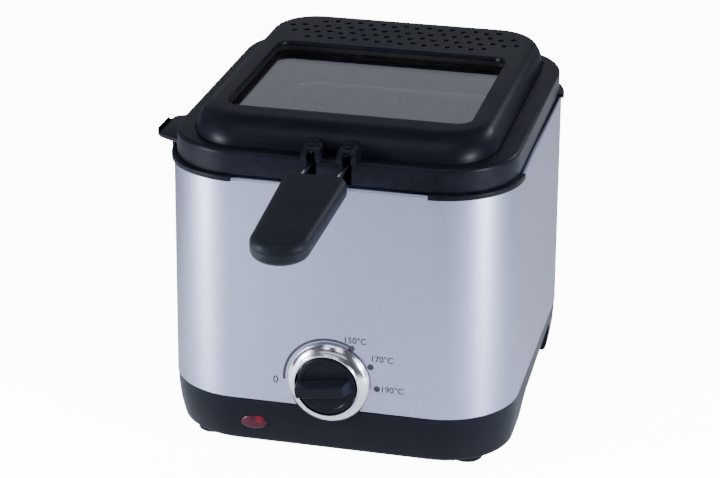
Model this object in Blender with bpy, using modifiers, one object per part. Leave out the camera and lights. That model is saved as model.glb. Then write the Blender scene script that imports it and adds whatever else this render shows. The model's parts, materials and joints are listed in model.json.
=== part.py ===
"""Compact deep fryer.

A brushed steel casing stands on a black base. A lift-off lid with a window covers a fixed oil pot,
in which a wire basket hangs by a folding handle. A dial on the front sets the thermostat.

The model is laid out about the casing's middle: +X is the user's right, -Y is the front, and the
floor is at Z = 0. At the end the whole model is moved sideways, so that its box is centred on the
origin.
"""

import math

import bmesh
import bpy
from mathutils import Matrix, Vector

mm = 0.001

# Body
BODY_HALF_WIDTH = 100.0 * mm
BODY_HALF_DEPTH = 113.9 * mm
BODY_CORNER = 44.4 * mm
FOOT_HEIGHT = 3.5 * mm
BASE_HEIGHT = 30.4 * mm
CASING_HEIGHT = 136.1 * mm
CASING_FLARE = 1.8 * mm
CASING_LEAN = 2.3 * mm
CASING_WALL = 0.8 * mm
CASING_BEAD = 0.5 * mm
CASING_ROLL = 1.6 * mm
CASING_BEAD_HEIGHT = 1.8 * mm

# Gaps between pieces
FIT = 0.4 * mm
RUNNING_FIT = 0.5 * mm

# Base
BASE_WALL = 2.6 * mm
BASE_TUCK_SIDE = 3.2 * mm
BASE_TUCK_FRONT = 7.4 * mm
BASE_LIP_HEIGHT = 6.0 * mm
RECESS_FRONT = -47.0 * mm
RECESS_REAR = 60.0 * mm
RECESS_FRONT_RISE = 14.5 * mm
RECESS_REAR_RISE = 22.5 * mm
RECESS_DEPTH = 16.0 * mm
RECESS_CORNER = 6.0 * mm
POST_X = 55.0 * mm
POST_Y = 55.0 * mm
POST_RADIUS = 4.5 * mm
FOOT_RADIUS = 9.5 * mm
FOOT_X = 76.0 * mm
FOOT_Y = 86.0 * mm
FOOT_STEM_RADIUS = 3.0 * mm
FLOOR_SLOTS = 5
FLOOR_SLOT_PITCH = 12.0 * mm
FLOOR_SLOT_LENGTH = 40.0 * mm
FLOOR_SLOT_WIDTH = 4.0 * mm

# Collar and oil pot
COLLAR_TOP = 1.0 * mm
COLLAR_DROP = 20.0 * mm
COLLAR_WALL = 2.0 * mm
COLLAR_RECESS_INSET = 6.0 * mm
POT_INSET = 11.9 * mm
POT_FLANGE = 5.4 * mm
POT_FLANGE_THICKNESS = 1.0 * mm
POT_WALL = 1.2 * mm
POT_DEPTH = 97.0 * mm
POT_TAPER = 4.5 * mm
POT_FOOT_RADIUS = 13.0 * mm
LIP_OVERHANG = 0.8 * mm
LIP_DROP = 1.9 * mm

# Heating and control
ELEMENT_RADIUS = 3.4 * mm
ELEMENT_SIDE_GAP = 44.0 * mm
ELEMENT_FRONT_GAP = 53.9 * mm
ELEMENT_CORNER = 22.0 * mm
ELEMENT_END_SPACING = 9.0 * mm
ELEMENT_END_GAP = 35.9 * mm
CLAMP_WIDTH = 14.0 * mm
CLAMP_THICKNESS = 1.5 * mm
SHIELD_INSET = 22.0 * mm
SHIELD_DROP = 26.0 * mm
SHIELD_RIM = 10.0 * mm
SHIELD_WALL = 0.8 * mm
BULB_X = 22.0 * mm
BULB_RADIUS = 3.0 * mm
BULB_LENGTH = 56.0 * mm
CAPILLARY_RADIUS = 0.9 * mm
CUTOUT_X = -30.0 * mm
CUTOUT_Y = 26.0 * mm
CUTOUT_RADIUS = 8.0 * mm
CUTOUT_HEIGHT = 9.0 * mm
THERMOSTAT_HALF_WIDTH = 17.0 * mm
THERMOSTAT_DEPTH = 16.0 * mm
THERMOSTAT_HEIGHT = 18.0 * mm
TERMINAL_REAR_GAP = 43.9 * mm
TERMINAL_SIZE = (34.0 * mm, 16.0 * mm, 14.0 * mm)
WIRE_RADIUS = 1.2 * mm
GLAND_X = -45.0 * mm
GLAND_RISE = 16.0 * mm
GLAND_RADIUS = 7.0 * mm
GLAND_NECK_RADIUS = 4.8 * mm
GLAND_BORE_RADIUS = 3.2 * mm
GLAND_STANDOUT = 4.0 * mm

# Dial and pilot light
KNOB_RISE = 16.7 * mm
BEZEL_RADIUS = 24.5 * mm
BEZEL_HEIGHT = 6.2 * mm
BEZEL_LIP_WIDTH = 1.0 * mm
BEZEL_GAP = 0.6 * mm
KNOB_RADIUS = 17.4 * mm
KNOB_HEIGHT = 5.8 * mm
GRIP_BAR_HALF_HEIGHT = 3.9 * mm
GRIP_BAR_HEIGHT = 8.6 * mm
POINTER_REACH = 17.2 * mm
POINTER_DROP = math.radians(8.0)
SHAFT_RADIUS = 3.0 * mm
PILOT_X = -45.0 * mm
PILOT_RISE = 14.6 * mm
PILOT_HALF_WIDTH = 8.0 * mm
PILOT_HALF_HEIGHT = 4.2 * mm
PILOT_NECK = 2.0 * mm
PILOT_STANDOUT = 1.4 * mm
LAMP_RADIUS = 3.2 * mm
LAMP_LENGTH = 14.0 * mm

# Lid
LID_GAP = 1.4 * mm
SKIRT_INSET = 1.5 * mm
SKIRT_HEIGHT = 13.8 * mm
SKIRT_ROUND = 2.4 * mm
LID_WALL = 2.4 * mm
DOME_SIDE_INSET = 13.5 * mm
DOME_FRONT_INSET = 8.9 * mm
DOME_REAR_INSET = 4.0 * mm
DOME_CORNER = 36.0 * mm
DOME_HEIGHT = 14.0 * mm
DOME_ROUND_SIDE = 9.0 * mm
DOME_ROUND_FRONT = 18.0 * mm
WINDOW_SIDE_MARGIN = 29.8 * mm
WINDOW_FRONT_MARGIN = 38.4 * mm
WINDOW_REAR_MARGIN = 68.3 * mm
WINDOW_CORNER = 9.0 * mm
GLASS_OVERLAP = 2.6 * mm
GLASS_THICKNESS = 3.0 * mm
GLASS_DEPTH = 5.8 * mm
GASKET_WALL = 1.6 * mm
RETAINER_THICKNESS = 1.6 * mm
RETAINER_REACH = 9.6 * mm
RIM_WALL = 1.6 * mm
TAB_REACH = 14.0 * mm
TAB_THICKNESS = 3.0 * mm
TAB_RISE = 2.6 * mm
TAB_FRONT = -70.0 * mm
TAB_REAR = -44.0 * mm
TAB_TAPER = 12.0 * mm
TAB_RIB_WIDTH = 2.0 * mm
TAB_RIB_DROP = 9.0 * mm
VENT_ROWS = 4
VENT_PITCH = 7.3 * mm
VENT_RADIUS = 1.8 * mm
VENT_FRONT_GAP = 13.0 * mm
VENT_ROW_PITCH = 10.7 * mm
VENT_ZIGZAG = 1.3 * mm
VENT_HALF_SPAN = 70.0 * mm
FILTER_THICKNESS = 5.0 * mm
FILTER_CORNER = 19.0 * mm
FILTER_COVER_THICKNESS = 1.6 * mm
FILTER_SLOTS = 5
FILTER_SLOT_PITCH = 12.0 * mm
FILTER_SLOT_WIDTH = 5.0 * mm
LID_SCREW_RADIUS = 2.8 * mm
LID_BORE_RADIUS = 1.4 * mm

# Basket and handle
BASKET_SIDE_GAP = 26.0 * mm
BASKET_END_GAP = 34.9 * mm
BASKET_CORNER = 24.0 * mm
BASKET_TAPER = 6.0 * mm
BASKET_WALL = 1.4 * mm
BASKET_FLOOR_GAP = 2.5 * mm
BASKET_RIM_DROP = 13.0 * mm
RIM_WIRE_RADIUS = 2.0 * mm
HANDLE_WIRE_RADIUS = 1.5 * mm
HANDLE_WIRE_SPACING = 10.0 * mm
HANDLE_WIRE_RISE = 13.0 * mm
PIVOT_INSET = 25.9 * mm
EAR_THICKNESS = 1.5 * mm
EAR_GAP = 4.0 * mm
EAR_RADIUS = 4.0 * mm
BRACKET_THICKNESS = 1.2 * mm
SLOT_WIDTH = 5.0 * mm
SLOT_HEADROOM = 5.8 * mm
HOOD_RADIUS = 5.4 * mm
HOOD_REACH = 2.6 * mm
GRIP_GAP = 25.0 * mm
GRIP_LENGTH = 91.0 * mm
GRIP_NEAR_HALF_WIDTH = 18.0 * mm
GRIP_FAR_HALF_WIDTH = 15.4 * mm
GRIP_NEAR_CORNER = 7.0 * mm
GRIP_THICKNESS = 12.6 * mm
GRIP_ROUND = 4.6 * mm
GRIP_TILT = math.radians(4.0)
GRIP_SOCKET = 30.0 * mm

# Fineness
CORNER_STEPS = 4
ROUND_STEPS = 4
SMALL_STEPS = 14
LARGE_STEPS = 32
OVAL_STEPS = 20
VENT_SIDES = 6
SMOOTH_ANGLE = math.radians(35)

# Levels and planes that follow from the sizes above
BASE_BOTTOM = FOOT_HEIGHT
CASING_BOTTOM = BASE_BOTTOM + BASE_HEIGHT
RIM = CASING_BOTTOM + CASING_HEIGHT
COLLAR_LEVEL = RIM + COLLAR_TOP
POT_FLANGE_BOTTOM = COLLAR_LEVEL - POT_FLANGE_THICKNESS - FIT
POT_TOP = POT_FLANGE_BOTTOM + POT_FLANGE_THICKNESS
POT_FLOOR = POT_TOP - POT_DEPTH
POT_BOTTOM = POT_FLOOR - POT_WALL
ELEMENT_Z = POT_BOTTOM - FIT - ELEMENT_RADIUS
SHIELD_TOP = POT_BOTTOM - SHIELD_DROP + SHIELD_RIM
SHIELD_FLOOR = SHIELD_TOP - SHIELD_RIM
ELEMENT_HALF_WIDTH = BODY_HALF_WIDTH - ELEMENT_SIDE_GAP
ELEMENT_HALF_DEPTH = BODY_HALF_DEPTH - ELEMENT_FRONT_GAP
ELEMENT_END_REACH = BODY_HALF_DEPTH - ELEMENT_END_GAP
TERMINAL_Y = BODY_HALF_DEPTH - TERMINAL_REAR_GAP
KNOB_Z = CASING_BOTTOM + KNOB_RISE
PILOT_Z = BASE_BOTTOM + PILOT_RISE
GLAND_Z = BASE_BOTTOM + GLAND_RISE
SKIRT_BOTTOM = RIM + LID_GAP
LEDGE_Z = SKIRT_BOTTOM + SKIRT_HEIGHT
LID_TOP = LEDGE_Z + DOME_HEIGHT
GLASS_TOP = LID_TOP - GLASS_DEPTH
GLASS_BOTTOM = GLASS_TOP - GLASS_THICKNESS
RETAINER_TOP = GLASS_BOTTOM - GASKET_WALL - FIT
RETAINER_BOTTOM = RETAINER_TOP - RETAINER_THICKNESS
WINDOW_HALF_WIDTH = BODY_HALF_WIDTH - WINDOW_SIDE_MARGIN
WINDOW_FRONT = -(BODY_HALF_DEPTH - WINDOW_FRONT_MARGIN)
WINDOW_REAR = BODY_HALF_DEPTH - WINDOW_REAR_MARGIN
BASKET_HALF_WIDTH = BODY_HALF_WIDTH - BASKET_SIDE_GAP
BASKET_HALF_DEPTH = BODY_HALF_DEPTH - BASKET_END_GAP
BASKET_RIM = POT_TOP - BASKET_RIM_DROP
BASKET_BOTTOM = POT_FLOOR + BASKET_FLOOR_GAP
WIRE_Z = RIM + HANDLE_WIRE_RISE
PIVOT_Y = -(BODY_HALF_DEPTH - PIVOT_INSET)
SLOT_TOP = WIRE_Z + HANDLE_WIRE_RADIUS + SLOT_HEADROOM
SKIRT_FRONT = -(BODY_HALF_DEPTH - SKIRT_INSET)
GRIP_NEAR_Y = -(BODY_HALF_DEPTH + GRIP_GAP)

MATERIALS = {
    "brushed_steel": ((0.62, 0.62, 0.68), 0.35, 1.0),
    "chrome": ((0.85, 0.85, 0.87), 0.08, 1.0),
    "black_plastic": ((0.018, 0.020, 0.026), 0.45, 0.0),
    "handle_plastic": ((0.020, 0.024, 0.028), 0.55, 0.0),
    "rubber": ((0.012, 0.012, 0.012), 0.8, 0.0),
    "glass": ((0.55, 0.58, 0.62), 0.05, 0.0),
    "red_lens": ((0.45, 0.01, 0.02), 0.2, 0.0),
    "pot_coating": ((0.06, 0.06, 0.065), 0.45, 0.2),
    "aluminium": ((0.70, 0.71, 0.72), 0.4, 1.0),
    "wire_mesh": ((0.70, 0.70, 0.72), 0.25, 1.0),
    "filter": ((0.10, 0.10, 0.11), 0.95, 0.0),
    "insulation": ((0.60, 0.58, 0.52), 0.7, 0.0),
    "brass": ((0.70, 0.52, 0.22), 0.3, 1.0),
}


# Outlines


def ring(half_width, front, rear, corner, z):
    """A level rectangle with round corners, as points going round it."""
    centres = (
        (half_width - corner, rear - corner, 0),
        (corner - half_width, rear - corner, 90),
        (corner - half_width, front + corner, 180),
        (half_width - corner, front + corner, 270),
    )
    points = []
    for x, y, start in centres:
        for step in range(CORNER_STEPS + 1):
            angle = math.radians(start + 90 * step / CORNER_STEPS)
            points.append(Vector((x + corner * math.cos(angle), y + corner * math.sin(angle), z)))
    return points


def body_ring(inset, z):
    """The casing's upper outline, drawn in by an inset."""
    half_depth = BODY_HALF_DEPTH - inset
    return ring(BODY_HALF_WIDTH - inset, -half_depth, half_depth, BODY_CORNER - inset, z)


def foot_ring(inset_side, inset_front, z):
    """The casing's lower outline, which is a little wider and less deep, drawn in by two insets."""
    half_depth = BODY_HALF_DEPTH - CASING_LEAN - inset_front
    half_width = BODY_HALF_WIDTH + CASING_FLARE - inset_side
    corner = BODY_CORNER - (inset_side + inset_front) / 2
    return ring(half_width, -half_depth, half_depth, corner, z)


def casing_front(z):
    """Y of the casing's front face at a height."""
    share = (z - CASING_BOTTOM) / CASING_HEIGHT
    return -(BODY_HALF_DEPTH - CASING_LEAN * (1 - share))


def base_tuck(z):
    """How far the base has drawn in at a height, from 1 at its foot to 0 at its top."""
    return (1 - (z - BASE_BOTTOM) / BASE_HEIGHT) ** 2


def base_front(z):
    """Y of the base's front face at a height."""
    return -(BODY_HALF_DEPTH - CASING_LEAN - FIT / 2 - BASE_TUCK_FRONT * base_tuck(z))


def base_ring(wall, z):
    tuck = base_tuck(z)
    inset = FIT / 2 + wall
    return foot_ring(inset + BASE_TUCK_SIDE * tuck, inset + BASE_TUCK_FRONT * tuck, z)


def dome_ring(angle, wall):
    """The lid's dome at an angle up its rounded edge: 0 at its foot and 90 degrees at its flat top."""
    back = 1 - math.cos(angle)
    corner = DOME_CORNER - DOME_ROUND_SIDE * back - wall
    return ring(
        BODY_HALF_WIDTH - DOME_SIDE_INSET - DOME_ROUND_SIDE * back - wall,
        -(BODY_HALF_DEPTH - DOME_FRONT_INSET - DOME_ROUND_FRONT * back - wall),
        BODY_HALF_DEPTH - DOME_REAR_INSET - DOME_ROUND_SIDE * back - wall,
        corner,
        LEDGE_Z + DOME_HEIGHT * math.sin(angle) - wall,
    )


def window_ring(grow, z):
    """The window's outline, grown outwards."""
    return ring(
        WINDOW_HALF_WIDTH + grow,
        WINDOW_FRONT - grow,
        WINDOW_REAR + grow,
        WINDOW_CORNER + grow,
        z,
    )


def basket_ring(inset, z):
    """The basket's outline at a height, tapering towards its floor."""
    drop = (BASKET_RIM - z) / (BASKET_RIM - BASKET_BOTTOM)
    inset = inset + BASKET_TAPER * drop
    half_depth = BASKET_HALF_DEPTH - inset
    return ring(BASKET_HALF_WIDTH - inset, -half_depth, half_depth, BASKET_CORNER - inset, z)


# Meshes


def loft(rings, closed=False):
    """A skin over a stack of rings, with flat ends, or joined end to start where closed."""
    mesh = bmesh.new()
    loops = [[mesh.verts.new(point) for point in points] for points in rings]
    count = len(loops[0])
    pairs = list(zip(loops, loops[1:]))
    if closed:
        pairs.append((loops[-1], loops[0]))
    for low, high in pairs:
        for i in range(count):
            j = (i + 1) % count
            mesh.faces.new((low[i], low[j], high[j], high[i]))
    if not closed:
        mesh.faces.new(loops[0])
        mesh.faces.new(loops[-1])
    bmesh.ops.recalc_face_normals(mesh, faces=mesh.faces)
    return mesh


def box(low, high, bevel=0.0):
    """A block between two corners, with its edges rounded by one flat where bevel is given."""
    low = Vector(low)
    high = Vector(high)
    size = high - low
    mesh = bmesh.new()
    bmesh.ops.create_cube(mesh, size=1.0)
    bmesh.ops.scale(mesh, vec=size, verts=mesh.verts)
    bmesh.ops.translate(mesh, vec=(low + high) / 2, verts=mesh.verts)
    if bevel:
        bmesh.ops.bevel(mesh, geom=mesh.edges, offset=bevel, segments=1, affect="EDGES")
    return mesh


def cylinder(start, end, radius, sides=SMALL_STEPS):
    """A round bar from one point to another."""
    start = Vector(start)
    along = Vector(end) - start
    turn = Vector((0, 0, 1)).rotation_difference(along).to_matrix().to_4x4()
    place = Matrix.Translation(start + along / 2) @ turn
    mesh = bmesh.new()
    bmesh.ops.create_cone(
        mesh,
        cap_ends=True,
        segments=sides,
        radius1=radius,
        radius2=radius,
        depth=along.length,
        matrix=place,
    )
    return mesh


def prism(outline, along):
    """A flat outline pushed along a vector."""
    mesh = bmesh.new()
    face = mesh.faces.new([mesh.verts.new(point) for point in outline])
    pushed = bmesh.ops.extrude_face_region(mesh, geom=[face])
    moved = [item for item in pushed["geom"] if isinstance(item, bmesh.types.BMVert)]
    bmesh.ops.translate(mesh, vec=along, verts=moved)
    bmesh.ops.recalc_face_normals(mesh, faces=mesh.faces)
    return mesh


def joined(meshes):
    """Several meshes that don't touch, as one."""
    whole = bmesh.new()
    for mesh in meshes:
        piece = bpy.data.meshes.new("piece")
        mesh.to_mesh(piece)
        mesh.free()
        whole.from_mesh(piece)
        bpy.data.meshes.remove(piece)
    return whole


# Objects


def clear_scene():
    for item in list(bpy.data.objects):
        bpy.data.objects.remove(item, do_unlink=True)


def new_collection(name):
    collection = bpy.data.collections.new(name)
    bpy.context.scene.collection.children.link(collection)
    return collection


def new_material(name):
    colour, roughness, metallic = MATERIALS[name]
    material = bpy.data.materials.new(name)
    material.use_nodes = True
    shader = material.node_tree.nodes["Principled BSDF"]
    shader.inputs["Base Color"].default_value = (*colour, 1.0)
    shader.inputs["Roughness"].default_value = roughness
    shader.inputs["Metallic"].default_value = metallic
    return material


clear_scene()
PARTS = new_collection("deep_fryer")
CUTTERS = new_collection("cutters")
FINISHES = {name: new_material(name) for name in MATERIALS}


def new_empty(name, place, parent=None):
    empty = bpy.data.objects.new(name, None)
    empty.empty_display_size = 0.02
    PARTS.objects.link(empty)
    empty.location = place
    empty.parent = parent
    return empty


FRAME = new_empty("fryer_frame", (0, 0, 0))
LID_SLIDE = new_empty("lid_slide", (0, 0, SKIRT_BOTTOM), FRAME)
BASKET_SLIDE = new_empty("basket_slide", (0, 0, BASKET_BOTTOM), FRAME)
HANDLE_PIVOT = new_empty("handle_pivot", (0, PIVOT_Y, WIRE_Z), FRAME)
KNOB_AXIS = new_empty("knob_axis", (0, casing_front(KNOB_Z), KNOB_Z), FRAME)


def place_under(item, parent):
    """Hangs an object that is laid out in the fryer's own axes from one of the empties."""
    item.parent = parent
    item.location = Vector((0, 0, 0)) if parent == FRAME else -parent.location


def smooth(mesh):
    mesh.shade_smooth()
    mesh.set_sharp_from_angle(angle=SMOOTH_ANGLE)


def part(name, mesh, finish, parent=FRAME):
    data = bpy.data.meshes.new(name)
    mesh.to_mesh(data)
    mesh.free()
    smooth(data)
    data.materials.append(FINISHES[finish])
    item = bpy.data.objects.new(name, data)
    PARTS.objects.link(item)
    place_under(item, parent)
    return item


def cutter(name, mesh):
    data = bpy.data.meshes.new(name)
    mesh.to_mesh(data)
    mesh.free()
    item = bpy.data.objects.new(name, data)
    CUTTERS.objects.link(item)
    item.hide_render = True
    item.display_type = "WIRE"
    place_under(item, FRAME)
    return item


def apply_shape(item, mesh, operation="DIFFERENCE"):
    """Cuts a mesh from an object, or joins one to it."""
    tool = cutter(f"{item.name}_{operation.lower()}_{len(item.modifiers)}", mesh)
    change = item.modifiers.new(tool.name, "BOOLEAN")
    change.operation = operation
    change.object = tool


def turned(name, profile, place, finish, parent=FRAME, steps=SMALL_STEPS, facing="UP"):
    """A turned piece: profile points (radius, height) down its outer side, spun about its axis."""
    data = bpy.data.meshes.new(name)
    points = [(radius, 0, height) for radius, height in profile]
    hollow = all(radius > 0 for radius, height in profile)
    edges = [(i, i + 1) for i in range(len(points) - 1)]
    if hollow:
        edges.append((len(points) - 1, 0))
    data.from_pydata(points, edges, [])
    data.materials.append(FINISHES[finish])
    item = bpy.data.objects.new(name, data)
    PARTS.objects.link(item)
    spin = item.modifiers.new("Screw", "SCREW")
    spin.steps = steps
    spin.render_steps = steps
    spin.use_merge_vertices = True
    spin.merge_threshold = 0.00001
    spin.use_smooth_shade = True
    place_under(item, parent)
    item.location += Vector(place)
    item.rotation_euler.x = {"UP": 0.0, "FRONT": math.pi / 2, "DOWN": math.pi}[facing]
    return item


def wire(name, points, radius, finish, parent=FRAME, closed=False):
    """A round wire along a list of points."""
    data = bpy.data.curves.new(name, "CURVE")
    data.dimensions = "3D"
    data.bevel_depth = radius
    data.bevel_resolution = 2
    data.use_fill_caps = not closed
    spline = data.splines.new("POLY")
    spline.points.add(len(points) - 1)
    for target, point in zip(spline.points, points):
        target.co = (*point, 1.0)
    spline.use_cyclic_u = closed
    data.materials.append(FINISHES[finish])
    item = bpy.data.objects.new(name, data)
    PARTS.objects.link(item)
    place_under(item, parent)
    return item


def rounded_path(points, radius, steps=3):
    """A path with an arc at each inner corner."""
    points = [Vector(point) for point in points]
    path = [points[0]]
    for before, corner, after in zip(points, points[1:], points[2:]):
        into = (before - corner).normalized()
        out = (after - corner).normalized()
        half = into.angle(out) / 2
        reach = radius / math.tan(half)
        centre = corner + (into + out).normalized() * radius / math.sin(half)
        start = corner + into * reach - centre
        end = corner + out * reach - centre
        for step in range(steps + 1):
            path.append(centre + start.normalized().slerp(end.normalized(), step / steps) * radius)
    path.append(points[-1])
    return path


# Base


def recess_prism(side, grow):
    """The finger recess under one side of the casing, grown on every side but its bottom."""
    outer = side * (BODY_HALF_WIDTH + CASING_FLARE + 10 * mm)
    inner = side * (BODY_HALF_WIDTH + CASING_FLARE - RECESS_DEPTH - grow)
    low = BASE_BOTTOM - 5 * mm
    slant = 12 * mm
    front = RECESS_FRONT - grow
    rear = RECESS_REAR + grow
    outline = [
        Vector((inner, front, low)),
        Vector((inner, front + slant, BASE_BOTTOM + RECESS_FRONT_RISE + grow)),
        Vector((inner, rear - RECESS_CORNER, BASE_BOTTOM + RECESS_REAR_RISE + grow)),
        Vector((inner, rear, low)),
    ]
    mesh = prism(outline, Vector((outer - inner, 0, 0)))
    upper = [
        edge
        for edge in mesh.edges
        if all(vert.co.z > BASE_BOTTOM for vert in edge.verts)
        and abs(edge.verts[0].co.y - edge.verts[1].co.y) < 1e-6
    ]
    bmesh.ops.bevel(mesh, geom=upper, offset=RECESS_CORNER, segments=3, affect="EDGES", profile=0.5)
    return mesh


def base_cavity():
    """The hollow of the base, open at the top, with walls left round the finger recesses."""
    floor = BASE_BOTTOM + BASE_WALL
    levels = [floor, floor + 0.15 * BASE_HEIGHT, floor + 0.4 * BASE_HEIGHT, CASING_BOTTOM - BASE_WALL]
    rings = [base_ring(BASE_WALL, z) for z in levels]
    lip = CASING_WALL + FIT + BASE_WALL
    rings.append(foot_ring(lip, lip, CASING_BOTTOM))
    rings.append(foot_ring(lip, lip, CASING_BOTTOM + BASE_LIP_HEIGHT + 5 * mm))
    return loft(rings)


def make_base():
    top = CASING_BOTTOM - FIT
    heights = (0.0, 0.08, 0.2, 0.4, 0.7)
    rings = [base_ring(0, BASE_BOTTOM + share * BASE_HEIGHT) for share in heights]
    rings.append(base_ring(0, top))
    lip = CASING_WALL + FIT
    rings.append(foot_ring(lip, lip, top))
    rings.append(foot_ring(lip, lip, CASING_BOTTOM + BASE_LIP_HEIGHT))
    base = part("base_tray", loft(rings), "black_plastic")

    cavity = cutter("base_cavity", base_cavity())
    for side in (-1, 1):
        wall = cavity.modifiers.new("keep recess wall", "BOOLEAN")
        wall.object = cutter(f"recess_wall_{side}", recess_prism(side, BASE_WALL))
        apply_shape(base, recess_prism(side, 0.0))
    hollow = base.modifiers.new("hollow", "BOOLEAN")
    hollow.object = cavity

    posts = []
    for x, y in post_places():
        low = (x, y, BASE_BOTTOM + BASE_WALL / 2)
        posts.append(cylinder(low, (x, y, SHIELD_FLOOR - FIT), POST_RADIUS, 12))
    apply_shape(base, joined(posts), "UNION")

    holes = []
    for x, y in post_places():
        holes.append(cylinder((x, y, SHIELD_FLOOR - 14 * mm), (x, y, SHIELD_FLOOR + 1 * mm), 1.9 * mm, 10))
    for x, y in foot_places():
        radius = FOOT_STEM_RADIUS + FIT
        holes.append(cylinder((x, y, 0), (x, y, BASE_BOTTOM + BASE_WALL + 1 * mm), radius, 12))
    for slot in range(FLOOR_SLOTS):
        y = (slot - (FLOOR_SLOTS - 1) / 2) * FLOOR_SLOT_PITCH
        half = FLOOR_SLOT_WIDTH / 2
        low = (-FLOOR_SLOT_LENGTH / 2, y - half, 0)
        holes.append(box(low, (FLOOR_SLOT_LENGTH / 2, y + half, BASE_BOTTOM + BASE_WALL + 1 * mm)))
    rear = BODY_HALF_DEPTH + 5 * mm
    inner = rear - 15 * mm
    holes.append(cylinder((GLAND_X, inner, GLAND_Z), (GLAND_X, rear, GLAND_Z), GLAND_NECK_RADIUS + FIT))
    apply_shape(base, joined(holes))

    neck = PILOT_NECK - FIT
    pocket = [
        (PILOT_HALF_WIDTH - neck, PILOT_HALF_HEIGHT - neck / 2, pilot_seat() + 9 * mm),
        (PILOT_HALF_WIDTH - neck, PILOT_HALF_HEIGHT - neck / 2, pilot_seat()),
        (PILOT_HALF_WIDTH + FIT, PILOT_HALF_HEIGHT + FIT, pilot_seat()),
        (PILOT_HALF_WIDTH + FIT, PILOT_HALF_HEIGHT + FIT, -BODY_HALF_DEPTH - 2 * mm),
    ]
    apply_shape(base, oval_loft(pocket))


def post_places():
    return [(x * POST_X, y * POST_Y) for x in (-1, 1) for y in (-1, 1)]


def foot_places():
    return [(x * FOOT_X, y * FOOT_Y) for x in (-1, 1) for y in (-1, 1)]


def pilot_seat():
    """Y of the bottom of the shallow pocket that the pilot lens sits in."""
    return base_front(PILOT_Z - PILOT_HALF_HEIGHT) + 0.8 * mm


def oval_loft(sections):
    """A solid of oval sections along Y at the pilot light: half-width, half-height and Y of each."""
    rings = []
    for half_width, half_height, y in sections:
        points = []
        for step in range(OVAL_STEPS):
            angle = 2 * math.pi * step / OVAL_STEPS
            x = PILOT_X + half_width * math.cos(angle)
            points.append(Vector((x, y, PILOT_Z + half_height * math.sin(angle))))
        rings.append(points)
    return loft(rings)


def make_feet():
    names = ("front_left", "rear_left", "front_right", "rear_right")
    stem_top = BASE_BOTTOM + BASE_WALL
    for name, (x, y) in zip(names, foot_places()):
        profile = [
            (0, stem_top),
            (FOOT_STEM_RADIUS, stem_top),
            (FOOT_STEM_RADIUS, FOOT_HEIGHT - FIT),
            (FOOT_RADIUS, FOOT_HEIGHT - FIT),
            (FOOT_RADIUS, 0.8 * mm),
            (FOOT_RADIUS - 0.8 * mm, 0),
            (0, 0),
        ]
        turned(f"foot_{name}", profile, (x, y, 0), "rubber", steps=20)


# Casing, collar and pot


def make_casing():
    bead_low = RIM - CASING_BEAD_HEIGHT
    rings = [
        foot_ring(0, 0, CASING_BOTTOM),
        body_ring(0, bead_low - CASING_BEAD),
        body_ring(-CASING_BEAD, bead_low),
        body_ring(-CASING_BEAD, RIM - CASING_BEAD),
        body_ring(0, RIM),
        body_ring(CASING_ROLL - CASING_BEAD, RIM),
        body_ring(CASING_ROLL, RIM - CASING_BEAD),
        body_ring(CASING_ROLL, bead_low),
        body_ring(CASING_WALL, bead_low - CASING_BEAD),
        foot_ring(CASING_WALL, CASING_WALL, CASING_BOTTOM),
    ]
    casing = part("steel_casing", loft(rings, closed=True), "brushed_steel")
    front = casing_front(KNOB_Z)
    hole = cylinder((0, front - 5 * mm, KNOB_Z), (0, front + 5 * mm, KNOB_Z), SHAFT_RADIUS + 2 * mm)
    apply_shape(casing, hole)


def corner_lip(x_side, y_side):
    """A quarter of the collar's outer edge that laps over the casing at one corner."""
    outer = body_ring(-(CASING_BEAD + FIT + LIP_OVERHANG), RIM - LIP_DROP)
    inner = body_ring(-(CASING_BEAD + FIT), RIM - LIP_DROP)
    over = body_ring(CASING_ROLL + FIT + 0.5 * mm, 0)
    low = RIM - LIP_DROP
    bridge = RIM + FIT
    quarter = {(1, 1): 0, (-1, 1): 1, (-1, -1): 2, (1, -1): 3}[(x_side, y_side)]
    chosen = range(quarter * (CORNER_STEPS + 1), (quarter + 1) * (CORNER_STEPS + 1))
    mesh = bmesh.new()
    sections = []
    for i in chosen:
        corners = (
            (outer[i], low),
            (outer[i], COLLAR_LEVEL),
            (over[i], COLLAR_LEVEL),
            (over[i], bridge),
            (inner[i], bridge),
            (inner[i], low),
        )
        sections.append([mesh.verts.new((point.x, point.y, z)) for point, z in corners])
    for first, second in zip(sections, sections[1:]):
        for i in range(len(first)):
            j = (i + 1) % len(first)
            mesh.faces.new((first[i], first[j], second[j], second[i]))
    mesh.faces.new(sections[0])
    mesh.faces.new(sections[-1])
    bmesh.ops.recalc_face_normals(mesh, faces=mesh.faces)
    return mesh


def make_collar():
    outer = CASING_ROLL + FIT
    seat = POT_FLANGE_BOTTOM - FIT
    shelf = seat - COLLAR_WALL
    rings = [
        body_ring(outer, RIM - COLLAR_DROP),
        body_ring(outer, COLLAR_LEVEL),
        body_ring(COLLAR_RECESS_INSET, COLLAR_LEVEL),
        body_ring(COLLAR_RECESS_INSET, seat),
        body_ring(POT_INSET - FIT, seat),
        body_ring(POT_INSET - FIT, shelf),
        body_ring(outer + COLLAR_WALL, shelf),
        body_ring(outer + COLLAR_WALL, RIM - COLLAR_DROP),
    ]
    collar = part("rim_collar", loft(rings, closed=True), "black_plastic")
    for x_side in (-1, 1):
        for y_side in (-1, 1):
            apply_shape(collar, corner_lip(x_side, y_side), "UNION")


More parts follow.
